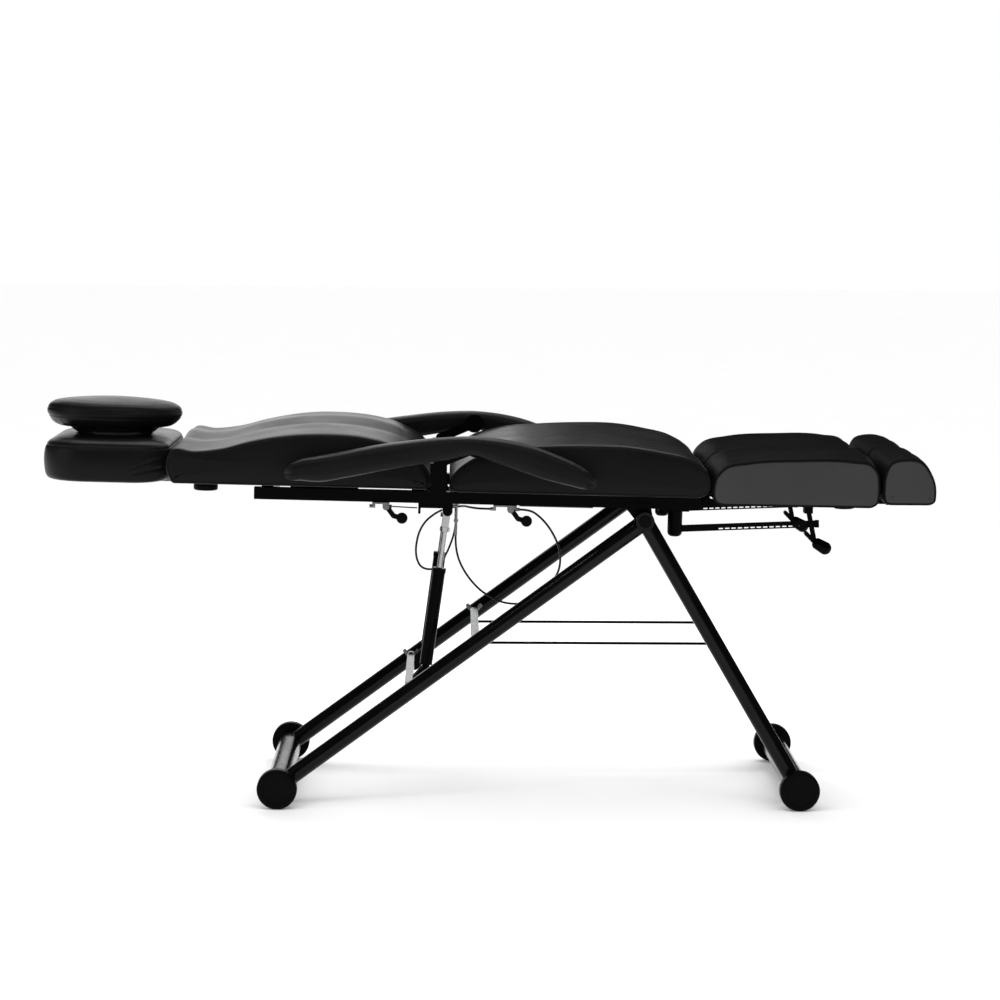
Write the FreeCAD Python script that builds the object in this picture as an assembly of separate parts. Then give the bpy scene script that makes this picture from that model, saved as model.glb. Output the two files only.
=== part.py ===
import FreeCAD, Part
import math
import os

V = FreeCAD.Vector
os.makedirs("parts", exist_ok=True)

# Frame: +X runs from the head end to the foot end, +Z is up, and the near side is -Y.
# The origin is on the floor under the middle of the whole chair at rest. Millimetres.

# Driving sizes of the standing frame
foot_head_x = -415.5        # head-end floor tube, along X
foot_toe_x = 650.0          # foot-end floor tube, along X
foot_span = 566.0           # floor bar over its two caps
foot_tube_r = 25.0
foot_tube_wall = 2.0
cap_r = 41.0
cap_width = 27.0
cap_end_wall = 5.0
cap_rim_round = 7.0
cap_back_round = 3.0
cap_dish_r = 30.0
cap_dish_depth = 1.5
leg_r = 17.0
leg_wall = 1.5
leg_set_in = 51.0           # legs' centre line in from the end of the floor bar
leg_y = foot_span / 2 - leg_set_in
leg_drop = 1.5              # head-end legs' centre lines under those of the tubes that they meet
apex_x = 329.5              # tilt axis at the top of the legs
apex_z = 589.5
apex_tube_r = 13.0
apex_tube_wall = 2.5
apex_boss_r = 19.0
apex_boss_width = 34.0
plug_lip = 2.0
plug_depth = 12.0
plug_round = 1.0

# Driving sizes of the bed at rest, measured along the bed from the tilt axis
rest_tilt_deg = 1.1         # head end up
rail_size = 24.0
rail_wall = 1.5
rail_low = 22.5             # underside of the rails over the tilt axis
rail_set_in = 37.0          # rails' centre line in from the legs'
rail_y = leg_y - rail_set_in
rail_head_u = -793.5
rail_toe_u = 113.0
bar_wall = 1.5

# Clearances
turn_gap = 0.06             # radial, pin in its hole
slide_gap = 0.5             # sliding pieces, each side
seat_gap = 0.3              # soft pieces beside what carries them
overrun = 5.0               # how far a cut runs past what it cuts

# The two sides, near and far, as directions along Y
sides = (-1, 1)
near, far = sides


def box(x0, x1, y0, y1, z0, z1):
    """Block between two limits on each axis."""
    return Part.makeBox(abs(x1 - x0), abs(y1 - y0), abs(z1 - z0), V(min(x0, x1), min(y0, y1), min(z0, z1)))


def rod(a, b, r):
    """Round bar of radius r from point a to point b."""
    return Part.makeCylinder(r, (b - a).Length, a, b - a)


def tube(a, b, r, wall):
    """Round tube, open at both ends."""
    along = (b - a).normalize() * overrun
    return rod(a, b, r).cut(rod(a - along, b + along, r - wall))


def cross_rod(x, z, y0, y1, r):
    """Round bar along Y."""
    return rod(V(x, min(y0, y1), z), V(x, max(y0, y1), z), r)


def plate(points, y0, y1):
    """Flat plate: an outline in X and Z, carried from y0 to y1."""
    ring = [V(x, min(y0, y1), z) for x, z in points]
    face = Part.Face(Part.makePolygon(ring + ring[:1]))
    return face.extrude(V(0, abs(y1 - y0), 0))


def link(a, b, r, y0, y1):
    """Flat bar with round ends between two points in X and Z."""
    run = V(b[0] - a[0], 0, b[1] - a[1])
    side = V(-run.z, 0, run.x).normalize() * r
    corners = [(a[0] + side.x, a[1] + side.z), (b[0] + side.x, b[1] + side.z)]
    corners += [(b[0] - side.x, b[1] - side.z), (a[0] - side.x, a[1] - side.z)]
    bar = plate(corners, y0, y1)
    return bar.fuse([cross_rod(a[0], a[1], y0, y1, r), cross_rod(b[0], b[1], y0, y1, r)])


def square_tube_x(x0, x1, y, z, size, wall):
    """Square tube along X, centred on y and z."""
    half = size / 2
    core = half - wall
    outer = box(x0, x1, y - half, y + half, z - half, z + half)
    return outer.cut(box(x0 - overrun, x1 + overrun, y - core, y + core, z - core, z + core))


def square_tube_y(x, y0, y1, z, size, wall):
    """Square tube along Y, centred on x and z."""
    half = size / 2
    core = half - wall
    outer = box(x - half, x + half, y0, y1, z - half, z + half)
    return outer.cut(box(x - core, x + core, y0 - overrun, y1 + overrun, z - core, z + core))


def in_bed(shape):
    """Turns a piece drawn along the level bed to the bed's rest tilt and sets it on the tilt axis."""
    placed = shape.copy()
    placed.rotate(V(0, 0, 0), V(0, 1, 0), rest_tilt_deg)
    placed.translate(V(apex_x, 0, apex_z))
    return placed


def bed_point(u, w):
    """Where a point of the bed lies in X and Z."""
    angle = math.radians(rest_tilt_deg)
    x = apex_x + u * math.cos(angle) + w * math.sin(angle)
    return x, apex_z - u * math.sin(angle) + w * math.cos(angle)


def save(name, shape):
    """Writes one node."""
    shape.exportStep("parts/" + name + ".step")


def group(solids):
    """Separate solids of one node."""
    return Part.makeCompound(solids)


def hex_prism(centre, axis, r, height):
    """Hexagon head or nut, r being half its width across the flats."""
    corner_r = r / math.cos(math.pi / 6)
    blank = Part.makePolygon([V(corner_r * math.cos(k * math.pi / 3), corner_r * math.sin(k * math.pi / 3), 0)
                              for k in range(7)])
    head = Part.Face(blank).extrude(V(0, 0, height))
    head.Placement = FreeCAD.Placement(centre, FreeCAD.Rotation(V(0, 0, 1), axis))
    return head


def mirrored(shape, side):
    """A piece drawn on the near side, or its far-side twin."""
    if side == near:
        return shape
    return shape.mirror(V(0, 0, 0), V(0, 1, 0))


# Standing frame
foot_z = cap_r
leg_slope = (apex_z - foot_z) / (apex_x - foot_head_x)


def floor_tube(x):
    """Floor tube along Y, running into the caps at its ends."""
    end = foot_span / 2 - cap_end_wall
    return tube(V(x, -end, foot_z), V(x, end, foot_z), foot_tube_r, foot_tube_wall)


def floor_cap(x, side):
    """Round plastic cap, its socket over the end of the floor tube."""
    face_y = side * foot_span / 2
    inner_y = side * (foot_span / 2 - cap_width)
    cap = cross_rod(x, foot_z, face_y, inner_y, cap_r)
    outer_edges = [e for e in cap.Edges if abs(e.CenterOfMass.y - face_y) < seat_gap]
    cap = cap.makeFillet(cap_rim_round, outer_edges)
    back_edges = [e for e in cap.Edges if abs(e.CenterOfMass.y - inner_y) < seat_gap]
    cap = cap.makeFillet(cap_back_round, back_edges)
    socket_end = side * (foot_span / 2 - cap_end_wall)
    cap = cap.cut(cross_rod(x, foot_z, socket_end, inner_y - side * overrun, foot_tube_r))
    dish = cross_rod(x, foot_z, face_y - side * cap_dish_depth, face_y + side * overrun, cap_dish_r)
    return cap.cut(dish)


def leg_line(x, side):
    """Point on the centre line of a head-end leg."""
    return V(x, side * leg_y, foot_z - leg_drop + (x - foot_head_x) * leg_slope)


def head_leg(side):
    """Head-end leg tube, coped to the floor tube and to the apex boss."""
    foot = leg_line(foot_head_x, side)
    top = leg_line(apex_x, side)
    leg = tube(foot, top, leg_r, leg_wall)
    leg = leg.cut(cross_rod(foot_head_x, foot_z, -foot_span, foot_span, foot_tube_r))
    return leg.cut(cross_rod(apex_x, apex_z, -foot_span, foot_span, apex_boss_r))


def toe_leg(side):
    """Foot-end leg tube, coped to its floor tube, the apex boss and the head-end leg."""
    foot = V(foot_toe_x, side * leg_y, foot_z)
    top = V(apex_x, side * leg_y, apex_z)
    leg = tube(foot, top, leg_r, leg_wall)
    leg = leg.cut(cross_rod(foot_toe_x, foot_z, -foot_span, foot_span, foot_tube_r))
    leg = leg.cut(cross_rod(apex_x, apex_z, -foot_span, foot_span, apex_boss_r))
    return leg.cut(rod(leg_line(foot_head_x, side), leg_line(apex_x, side), leg_r))


apex_half = leg_y + apex_boss_width / 2


def apex_tube():
    """Cross tube that the bed tilts on, thicker where the legs are welded to it."""
    body = cross_rod(apex_x, apex_z, -apex_half, apex_half, apex_tube_r)
    for side in sides:
        inner = side * (leg_y - apex_boss_width / 2)
        body = body.fuse(cross_rod(apex_x, apex_z, inner, side * apex_half, apex_boss_r))
    bore = apex_tube_r - apex_tube_wall
    return body.cut(cross_rod(apex_x, apex_z, -foot_span, foot_span, bore))


def apex_plug(side):
    """Plastic plug in the end of the apex tube."""
    end = side * apex_half
    lip = cross_rod(apex_x, apex_z, end, end + side * plug_lip, apex_tube_r)
    outer = [e for e in lip.Edges if abs(e.CenterOfMass.y - (end + side * plug_lip)) < seat_gap]
    lip = lip.makeFillet(plug_round, outer)
    stem_r = apex_tube_r - apex_tube_wall
    return lip.fuse(cross_rod(apex_x, apex_z, end, end - side * plug_depth, stem_r))


# Cross bars between the head-end legs
upper_bar_x = -13.0
lower_bar_x = -150.0
bar_width = 16.0            # along X
bar_depth = 24.0            # along Z
fork_rise = 16.0
fork_spread = 14.0
fork_r = 4.0
fork_wall = 7.0
clamp_bolt_r = 5.5
clamp_bolt_height = 4.5

leg_inner_y = leg_y - leg_r


def leg_cross_bar(x):
    """Plated bar between the head-end legs, its ends coped to them, with a short fork at its far end."""
    z = leg_line(x, near).z
    bar = box(x - bar_width / 2, x + bar_width / 2, -leg_y, leg_y, z - bar_depth / 2, z + bar_depth / 2)
    for lean in sides:
        tip = (x + lean * fork_spread, z + fork_rise)
        bar = bar.fuse(link((x, z), tip, fork_r, far * (leg_inner_y - fork_wall), far * leg_inner_y))
    for side in sides:
        bar = bar.cut(rod(leg_line(foot_head_x, side), leg_line(apex_x, side), leg_r))
    return bar.common(box(foot_head_x, apex_x, -leg_inner_y, leg_inner_y, 0, apex_z))


def clamp_bolts():
    """Bolt heads on top of the lower cross bar, one at each end."""
    z = leg_line(lower_bar_x, near).z + bar_depth / 2
    bolts = []
    for side in sides:
        y = side * (leg_inner_y - bar_width)
        bolts.append(hex_prism(V(lower_bar_x, y, z), V(0, 0, 1), clamp_bolt_r, clamp_bolt_height))
    return bolts


# Flat bar between the foot-end legs, and the tie rods to it
toe_bar_z = 342.0
toe_bar_width = 56.0
toe_bar_wall = 5.0
tie_y = 150.0
tie_z = 325.5
tie_r = 2.8
tie_end = 13.0
tie_nut_r = 5.0
tie_nut_height = 5.0
tie_bolt_z = 356.0
tie_hole_gap = 0.2

toe_slope = (apex_z - foot_z) / (foot_toe_x - apex_x)
toe_lean = math.atan2(foot_toe_x - apex_x, apex_z - foot_z)


def toe_line_x(z):
    """X of the foot-end legs' centre line at a height."""
    return foot_toe_x - (z - foot_z) / toe_slope


def toe_bar_blank():
    """Flat bar in the plane of the foot-end legs, before it is drilled and coped."""
    bar = box(-toe_bar_wall / 2, toe_bar_wall / 2, -leg_inner_y, leg_inner_y, -toe_bar_width / 2,
              toe_bar_width / 2)
    bar.rotate(V(0, 0, 0), V(0, 1, 0), -math.degrees(toe_lean))
    bar.translate(V(toe_line_x(toe_bar_z), 0, toe_bar_z))
    return bar


def toe_cross_bar():
    """The flat bar, drilled for the tie rods; its ends meet the legs' inner sides."""
    bar = toe_bar_blank()
    x = toe_line_x(tie_z)
    for side in sides:
        y = side * tie_y
        hole = rod(V(x - toe_bar_width, y, tie_z), V(x + toe_bar_width, y, tie_z), tie_r + tie_hole_gap)
        bar = bar.cut(hole)
    return bar


def tie_rods():
    """Two thin rods from the upper cross bar through the foot-end bar."""
    start = upper_bar_x + bar_width / 2
    end = toe_line_x(tie_z) + tie_end
    return group([rod(V(start, s * tie_y, tie_z), V(end, s * tie_y, tie_z), tie_r) for s in sides])


def tie_nuts():
    """Nuts on the tie rods' ends, the bolt heads above them and those on the lower bar."""
    out = V(math.cos(toe_lean), 0, math.sin(toe_lean))
    half = toe_bar_wall / 2
    pieces = []
    for side in sides:
        seat = toe_line_x(tie_z) + half / math.cos(toe_lean)
        nut = hex_prism(V(seat, side * tie_y, tie_z), V(1, 0, 0), tie_nut_r, tie_nut_height + half)
        nut = nut.cut(rod(V(seat - overrun, side * tie_y, tie_z), V(seat + tie_end, side * tie_y, tie_z),
                          tie_r + tie_hole_gap))
        nut = nut.cut(toe_bar_blank())
        pieces.append(nut)
        face = V(toe_line_x(tie_bolt_z), side * tie_y, tie_bolt_z) + out * half
        pieces.append(hex_prism(face, out, tie_nut_r, tie_nut_height))
    return group(pieces + clamp_bolts())


# Tilt gas springs: a lower eye on the lower cross bar and an upper eye under the bed
spring_y = 134.0
spring_foot_x = -116.5
spring_foot_z = 264.0
spring_eye_u = -401.0
spring_eye_w = 0.0
spring_r = 13.0
spring_top_share = 0.645    # cylinder's upper end, as a share of the distance between the eyes
spring_nut_share = 0.872
spring_engaged_share = 0.30
spring_rod_r = 5.5
spring_nut_r = 9.0
spring_nut_height = 9.5
spring_head_half = 7.0      # half the width of the release head
spring_eye_r = 9.0
spring_eye_width = 16.0
spring_pin_r = 4.0
open_eye_gap = 3.6          # room round the pin of the opened upper pivot
spring_eye_wall = 3.4
spring_neck_r = 8.0
spring_neck = 14.0
collar_r = 14.0
collar_height = 10.0
foot_plate_wall = 4.0
foot_plate_r = 12.0


def spring_axis(side):
    """The two eyes of a tilt gas spring and the unit vector from the lower to the upper one."""
    low = V(spring_foot_x, side * spring_y, spring_foot_z)
    x, z = bed_point(spring_eye_u, spring_eye_w)
    high = V(x, side * spring_y, z)
    return low, high, (high - low).normalize()


def spring_cylinder(side):
    """Gas cylinder with its lower eye and an end collar, open at the top for the rod."""
    low, high, way = spring_axis(side)
    length = (high - low).Length
    top = low + way * length * spring_top_share
    body = rod(low + way * spring_neck, top, spring_r)
    body = body.fuse(rod(top - way * collar_height, top, collar_r))
    body = body.fuse(rod(low, low + way * spring_neck, spring_neck_r))
    half = spring_eye_width / 2
    y = side * spring_y
    body = body.fuse(cross_rod(low.x, low.z, y - half, y + half, spring_eye_r))
    body = body.cut(cross_rod(low.x, low.z, y - half - overrun, y + half + overrun, spring_pin_r + turn_gap))
    bore_foot = low + way * (spring_neck + spring_r)
    return body.cut(rod(bore_foot, top + way * overrun, spring_rod_r + turn_gap))


def spring_rod(side):
    """Rod with its lock nut and release head, and an upper eye that is wide about its pin."""
    low, high, way = spring_axis(side)
    length = (high - low).Length
    foot = low + way * (length * (spring_top_share - spring_engaged_share))
    nut = low + way * length * spring_nut_share
    body = rod(foot, nut, spring_rod_r)
    body = body.fuse(hex_prism(nut, way, spring_nut_r, spring_nut_height))
    half = spring_eye_width / 2
    y = side * spring_y
    head = box(-spring_head_half, spring_head_half, -half, half, 0, (high - nut).Length - spring_nut_height)
    head.Placement = FreeCAD.Placement(nut + way * spring_nut_height,
                                       FreeCAD.Rotation(V(0, 1, 0), math.degrees(math.atan2(way.x, way.z))))
    eye_r = spring_pin_r + open_eye_gap + spring_eye_wall
    body = body.fuse([head, cross_rod(high.x, high.z, y - half, y + half, eye_r)])
    hole_r = spring_pin_r + open_eye_gap
    return body.cut(cross_rod(high.x, high.z, y - half - overrun, y + half + overrun, hole_r))


def spring_feet():
    """Two pairs of plates on the lower cross bar, with the pins of the lower eyes."""
    bar_z = leg_line(lower_bar_x, near).z
    root = (lower_bar_x + bar_width / 2, bar_z)
    eye = (spring_foot_x, spring_foot_z)
    keep = box(lower_bar_x + bar_width / 2, apex_x, -leg_y, leg_y, 0, apex_z)
    feet = []
    for side in sides:
        plates = []
        for turn in sides:
            y0 = side * spring_y + turn * (spring_eye_width / 2 + slide_gap)
            plates.append(link(root, eye, foot_plate_r, y0, y0 + turn * foot_plate_wall).common(keep))
        reach = spring_eye_width / 2 + slide_gap + foot_plate_wall
        y = side * spring_y
        pin = cross_rod(eye[0], eye[1], y - reach, y + reach, spring_pin_r)
        web = box(root[0], root[0] + foot_plate_wall, y - reach, y + reach, root[1] - foot_plate_r,
                  root[1] + foot_plate_r)
        feet.append(plates[0].fuse([plates[1], pin, web]))
    return group(feet)


# Tilt frame, drawn in the bed's own X and Z: u along the bed, w up from the tilt axis
rail_half = rail_size / 2
rail_top = rail_low + rail_size
rail_mid = rail_low + rail_half
rail_inner_y = rail_y - rail_half
rail_outer_y = rail_y + rail_half
rail_plug_lip = 2.0
rail_plug_depth = 15.0
head_bar_u = -770.0
spring_bar_u = -463.0
anchor_bar_u = -88.0
toe_bar_u = 97.0


def rails():
    """Two square tubes along the bed."""
    return [square_tube_x(rail_head_u, rail_toe_u, s * rail_y, rail_mid, rail_size, rail_wall) for s in sides]


def rail_plugs():
    """Plastic plugs in the four ends of the rails."""
    core = rail_half - rail_wall
    plugs = []
    for side in sides:
        for end, out in ((rail_head_u, -1), (rail_toe_u, 1)):
            y = side * rail_y
            lip = box(end, end + out * rail_plug_lip, y - rail_half, y + rail_half, rail_low, rail_top)
            stem = box(end, end - out * rail_plug_depth, y - core, y + core, rail_mid - core, rail_mid + core)
            plugs.append(lip.fuse(stem))
    return group(plugs)


def frame_bars():
    """Square cross tubes welded between the rails."""
    places = (head_bar_u, spring_bar_u, anchor_bar_u, toe_bar_u)
    return [square_tube_y(u, -rail_inner_y, rail_inner_y, rail_mid, rail_size, bar_wall) for u in places]


# Hinge plates between the rails and the apex tube
hinge_plate_wall = 4.0
hinge_plate_head_u = -38.0
hinge_plate_toe_u = 14.0
hinge_plate_lap = 12.0
hinge_plate_r = 19.0


def hinge_plates():
    """Plate on each face of each rail, narrowing to a bore round the apex tube."""
    plates = []
    top = rail_low + hinge_plate_lap
    for side in sides:
        for face, turn in ((rail_outer_y, 1), (rail_inner_y, -1)):
            y0 = side * face
            y1 = side * (face + turn * hinge_plate_wall)
            outline = [(hinge_plate_head_u, top), (hinge_plate_toe_u, top), (hinge_plate_toe_u, rail_low)]
            outline += [(hinge_plate_r, 0), (0, -hinge_plate_r), (-hinge_plate_r, 0)]
            outline += [(hinge_plate_head_u, rail_low)]
            body = plate(outline, y0, y1).fuse(cross_rod(0, 0, y0, y1, hinge_plate_r))
            y_low = min(y0, y1) - overrun
            body = body.cut(cross_rod(0, 0, y_low, max(y0, y1) + overrun, apex_tube_r + turn_gap))
            plates.append(body.removeSplitter())
    return group(plates)


# Channel brackets that carry the upper eyes of the tilt gas springs
channel_head_u = -461.5
channel_toe_u = -390.0
channel_wall = 3.0
channel_low = 6.0
channel_gap = 1.0           # beside the eye, each side
channel_ear_r = 10.0
channel_tab_low = -6.0
channel_tab_width = 5.0


def spring_channels():
    """Inverted channel under the frame at each gas spring, with ears round the eye pin and a tab."""
    inner = spring_eye_width / 2 + channel_gap
    outer = inner + channel_wall
    channels = []
    for side in sides:
        y = side * spring_y
        body = box(channel_head_u, channel_toe_u, y - outer, y + outer, rail_low - channel_wall, rail_low)
        for turn in sides:
            y0 = y + turn * inner
            y1 = y + turn * outer
            wall = box(channel_head_u, channel_toe_u, y0, y1, channel_low, rail_low)
            root = (spring_eye_u, rail_low - channel_ear_r)
            ear = link((spring_eye_u, spring_eye_w), root, channel_ear_r, y0, y1)
            body = body.fuse([wall, ear])
        body = body.fuse(cross_rod(spring_eye_u, spring_eye_w, y - outer, y + outer, spring_pin_r))
        tab_toe_u = channel_head_u + channel_tab_width
        tab = box(channel_head_u, tab_toe_u, y - outer, y + outer, channel_tab_low, rail_low)
        channels.append(body.fuse(tab))
    return group(channels)


# Rod hinge of the back, just above the rails
back_hinge_u = -416.0
back_hinge_w = 50.0
back_hinge_r = 4.0
back_ear_r = 6.5


def back_hinge():
    """Hinge rod of the back between two ears that stand on the rails."""
    end = rail_inner_y + rail_half - slide_gap
    body = cross_rod(back_hinge_u, back_hinge_w, -end, end, back_hinge_r)
    for side in sides:
        y0 = side * rail_inner_y
        y1 = side * end
        ear = box(back_hinge_u - back_ear_r, back_hinge_u + back_ear_r, y0, y1, rail_top, back_hinge_w)
        body = body.fuse([ear, cross_rod(back_hinge_u, back_hinge_w, y0, y1, back_ear_r)])
        body = body.cut(box(back_hinge_u - lug_arm, back_hinge_u + lug_arm, y0, y1, rail_low, rail_top))
    return body


# Rod hinge of the leg rests, on ears inside the rails' ends
leg_hinge_u = 126.7
leg_hinge_w = 41.0
leg_hinge_r = 6.0
leg_ear_r = 10.0
leg_ear_wall = 4.0
leg_rod_reach = 29.0        # past the rails' inner sides
leg_rod_half = rail_inner_y + leg_rod_reach


def leg_hinge():
    """Hinge rod across both leg rests, on an ear at each rail."""
    axle = cross_rod(leg_hinge_u, leg_hinge_w, -leg_rod_half, leg_rod_half, leg_hinge_r)
    ears = []
    for side in sides:
        y0 = side * rail_inner_y
        y1 = side * (rail_inner_y - leg_ear_wall)
        root = (toe_bar_u + rail_half + leg_ear_r, rail_mid)
        ears.append(link(root, (leg_hinge_u, leg_hinge_w), leg_ear_r, y0, y1))
        ears.append(box(toe_bar_u + rail_half, root[0], y0, y1, rail_mid - leg_ear_r, rail_mid + leg_ear_r))
    return axle.fuse(ears)


# Round posts under the rails' foot ends, slotted for the ladder bars
post_u = 64.5
post_set_in = 5.0
post_y = rail_y - post_set_in
post_r = 15.0
post_low = -34.5
post_round = 9.0
post_plate_wall = 5.0
post_plate_head_u = 30.0
post_plate_toe_u = 92.0
post_plate_half = 20.0
post_bolt_u = 40.0
post_bolt_r = 6.0
post_bolt_height = 4.0
ladder_pin_w = -19.0
ladder_pin_r = 3.0
ladder_wall = 3.6
ladder_side_gap = 0.4
ladder_height = 14.0
ladder_eye_r = 7.0
ladder_slot_room = 2.0


def ladder_post(side):
    """Post with a rounded foot under a mounting plate, and the ladder's pin across its slot."""
    y = side * post_y
    post_top = rail_low - post_plate_wall
    post = rod(V(post_u, y, post_low), V(post_u, y, post_top), post_r)
    low_edge = [e for e in post.Edges if abs(e.CenterOfMass.z - post_low) < seat_gap and e.Closed]
    post = post.makeFillet(post_round, low_edge)
    half_slot = ladder_wall / 2 + ladder_side_gap
    reach = ladder_eye_r + ladder_slot_room
    post = post.cut(box(post_u - reach, post_u + post_r + overrun, y - half_slot, y + half_slot,
                        post_low - overrun, ladder_pin_w + reach))
    pin_half = math.sqrt(post_r ** 2 - ladder_pin_r ** 2) - post_plate_wall
    post = post.fuse(cross_rod(post_u, ladder_pin_w, y - pin_half, y + pin_half, ladder_pin_r))
    base = box(post_plate_head_u, post_plate_toe_u, side * (rail_outer_y - post_plate_wall),
               side * (rail_outer_y - post_plate_wall - 2 * post_plate_half), post_top, rail_low)
    bolt = hex_prism(V(post_bolt_u, side * rail_y, post_top - post_bolt_height), V(0, 0, 1), post_bolt_r,
                     post_bolt_height)
    return post.fuse([base, bolt])


# Release levers and their brackets under the near rail
lever_set_out = 10.0
lever_y = -rail_y - lever_set_out
lever_pivot_w = 13.5
lever_pivots_u = {"back": -526.5, "tilt": -272.5}
lever_plates_u = {"back": (-554.5, -520.5), "tilt": (-308.0, -260.0)}
lever_plate_wall = 3.0
lever_plate_width = 22.0
lever_ear_r = 7.0
lever_ear_wall = 2.5
lever_ear_inner = 4.0
lever_pin_r = 2.5
lever_wall = 5.0
lever_arm_r = 5.0
lever_elbow_u = 6.5
lever_elbow_w = -6.5
lever_knee_u = 15.5
lever_knee_w = -18.5
lever_tip_u = 33.0
lever_tip_w = -23.0
lever_ball_r = 11.5
lever_ball_flat = 5.5
ferrule_r = 3.6
ferrule_in = 6.0
ferrule_out = 6.0
ferrule_set_out = 0.5
ferrule_y = -rail_y - ferrule_set_out
ferrule_w = 13.0


def ferrule_end(kind, turn):
    """Outer end of a cable ferrule at one end of a lever's plate, in bed coordinates."""
    ends_u = lever_plates_u[kind]
    u = ends_u[1] if turn > 0 else ends_u[0]
    return u + turn * ferrule_out


def lever_bracket(kind):
    """Plate under the rail with two ears and the lever's pin, and a cable ferrule at each end."""
    u = lever_pivots_u[kind]
    head_u, toe_u = lever_plates_u[kind]
    half = lever_plate_width / 2
    outer = lever_ear_inner + lever_ear_wall
    body = box(head_u, toe_u, lever_y - half, lever_y + half, rail_low - lever_plate_wall, rail_low)
    for turn in sides:
        y0 = lever_y + turn * lever_ear_inner
        y1 = lever_y + turn * outer
        ear = cross_rod(u, lever_pivot_w, y0, y1, lever_ear_r)
        body = body.fuse([ear, box(u - lever_ear_r, u + lever_ear_r, y0, y1, lever_pivot_w, rail_low)])
        tip = ferrule_end(kind, turn)
        start = tip - turn * (ferrule_in + ferrule_out)
        web = box(start, start + turn * ferrule_in, ferrule_y - ferrule_r, ferrule_y + ferrule_r, ferrule_w,
                  rail_low)
        ferrule = rod(V(min(start, tip), ferrule_y, ferrule_w), V(max(start, tip), ferrule_y, ferrule_w),
                      ferrule_r)
        body = body.fuse([ferrule, web])
    return body.fuse(cross_rod(u, lever_pivot_w, lever_y - outer, lever_y + outer, lever_pin_r))


def release_lever(kind):
    """Bent lever on its pin, with a round finger end."""
    u = lever_pivots_u[kind]
    w = lever_pivot_w
    half = lever_wall / 2
    places = [(u, w), (u + lever_elbow_u, w + lever_elbow_w), (u + lever_knee_u, w + lever_knee_w),
              (u + lever_tip_u, w + lever_tip_w)]
    body = cross_rod(u, w, lever_y - half, lever_y + half, lever_arm_r)
    for a, b in zip(places, places[1:]):
        body = body.fuse(link(a, b, lever_arm_r, lever_y - half, lever_y + half))
    tip_u, tip_w = places[-1]
    ball = Part.makeSphere(lever_ball_r, V(tip_u, lever_y, tip_w))
    ball = ball.common(box(tip_u - lever_ball_r, tip_u + lever_ball_r, lever_y - lever_ball_flat,
                           lever_y + lever_ball_flat, tip_w - lever_ball_r, tip_w + lever_ball_r))
    body = body.fuse(ball)
    hole = cross_rod(u, w, lever_y - overrun, lever_y + overrun, lever_pin_r + turn_gap)
    return body.cut(hole)


# Cable adjusters beside the release heads
adjuster_u = -383.0
adjuster_low = -50.0
adjuster_r = 2.9
adjuster_nut_r = 4.0
adjuster_nut_height = 5.0
adjuster_nut_share = 0.45


def cable_adjusters():
    """Threaded adjuster tubes, each on a small arm from its channel bracket."""
    pieces = []
    for side in sides:
        y = side * spring_y
        top = channel_low + 2 * channel_wall
        barrel = rod(V(adjuster_u, y, adjuster_low), V(adjuster_u, y, top), adjuster_r)
        nut_w = adjuster_low + (top - adjuster_low) * adjuster_nut_share
        nut = hex_prism(V(adjuster_u, y, nut_w), V(0, 0, 1), adjuster_nut_r, adjuster_nut_height)
        inner = spring_eye_width / 2 + channel_gap
        arm = box(channel_toe_u, adjuster_u + adjuster_r, y - inner - channel_wall, y + inner + channel_wall,
                  channel_low + channel_wall, top)
        pieces.append(barrel.fuse([nut, arm]))
    return group(pieces)


# Cables: their routes between the ends, in X, Y and Z of the chair at rest, chosen point by point
cable_r = 2.2
cable_run_share = 0.45
cable_lead = 22.0
near_cable_points = [
    (118.0, -197.0, 592.5), (133.0, -197.0, 576.0), (144.5, -197.0, 558.5), (152.5, -197.0, 542.0),
    (158.2, -196.0, 524.0), (160.2, -194.5, 505.7), (158.4, -192.0, 486.3), (151.5, -189.0, 468.9),
    (135.8, -185.0, 447.1), (117.1, -180.0, 427.1), (96.2, -175.0, 414.8), (75.2, -169.0, 409.2),
    (54.2, -163.0, 409.1), (33.1, -158.0, 413.8), (11.9, -153.0, 424.6), (-5.1, -149.5, 436.4),
    (-22.1, -146.0, 453.8), (-35.8, -142.5, 472.5), (-47.8, -139.0, 495.5),
]
far_cable_points = [
    (-19.0, -186.0, 609.5), (-29.0, -166.0, 609.0), (-35.0, -143.0, 608.0), (-43.0, -123.0, 606.0),
    (-58.0, -111.0, 603.0), (-76.0, -108.5, 599.0), (-92.0, -108.0, 592.0), (-105.0, -107.0, 583.0),
    (-116.5, -104.5, 572.5), (-125.5, -101.5, 559.0),
    (-132.4, -98.5, 542.4), (-136.2, -97.0, 522.0), (-137.0, -96.5, 506.9), (-134.8, -95.0, 491.7),
    (-128.9, -91.0, 478.3), (-119.5, -84.0, 470.5), (-107.6, -73.0, 467.5), (-97.0, -58.0, 467.0),
    (-90.0, -34.0, 468.5), (-86.0, -6.0, 470.5), (-83.5, 24.0, 472.5), (-81.0, 54.0, 474.0),
    (-77.0, 82.0, 476.5), (-70.5, 108.0, 485.0),
]


def ferrule_points(turn):
    """Where a cable leaves a ferrule of the tilt lever, and a point straight out from there."""
    u = ferrule_end("tilt", turn)
    ends = [bed_point(u, ferrule_w), bed_point(u + turn * cable_lead, ferrule_w)]
    return [(x, ferrule_y, z) for x, z in ends]


def adjuster_points(side):
    """A point straight below an adjuster, and where the cable enters it."""
    ends = [bed_point(adjuster_u, adjuster_low - cable_lead), bed_point(adjuster_u, adjuster_low)]
    return [(x, side * spring_y, z) for x, z in ends]


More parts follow.
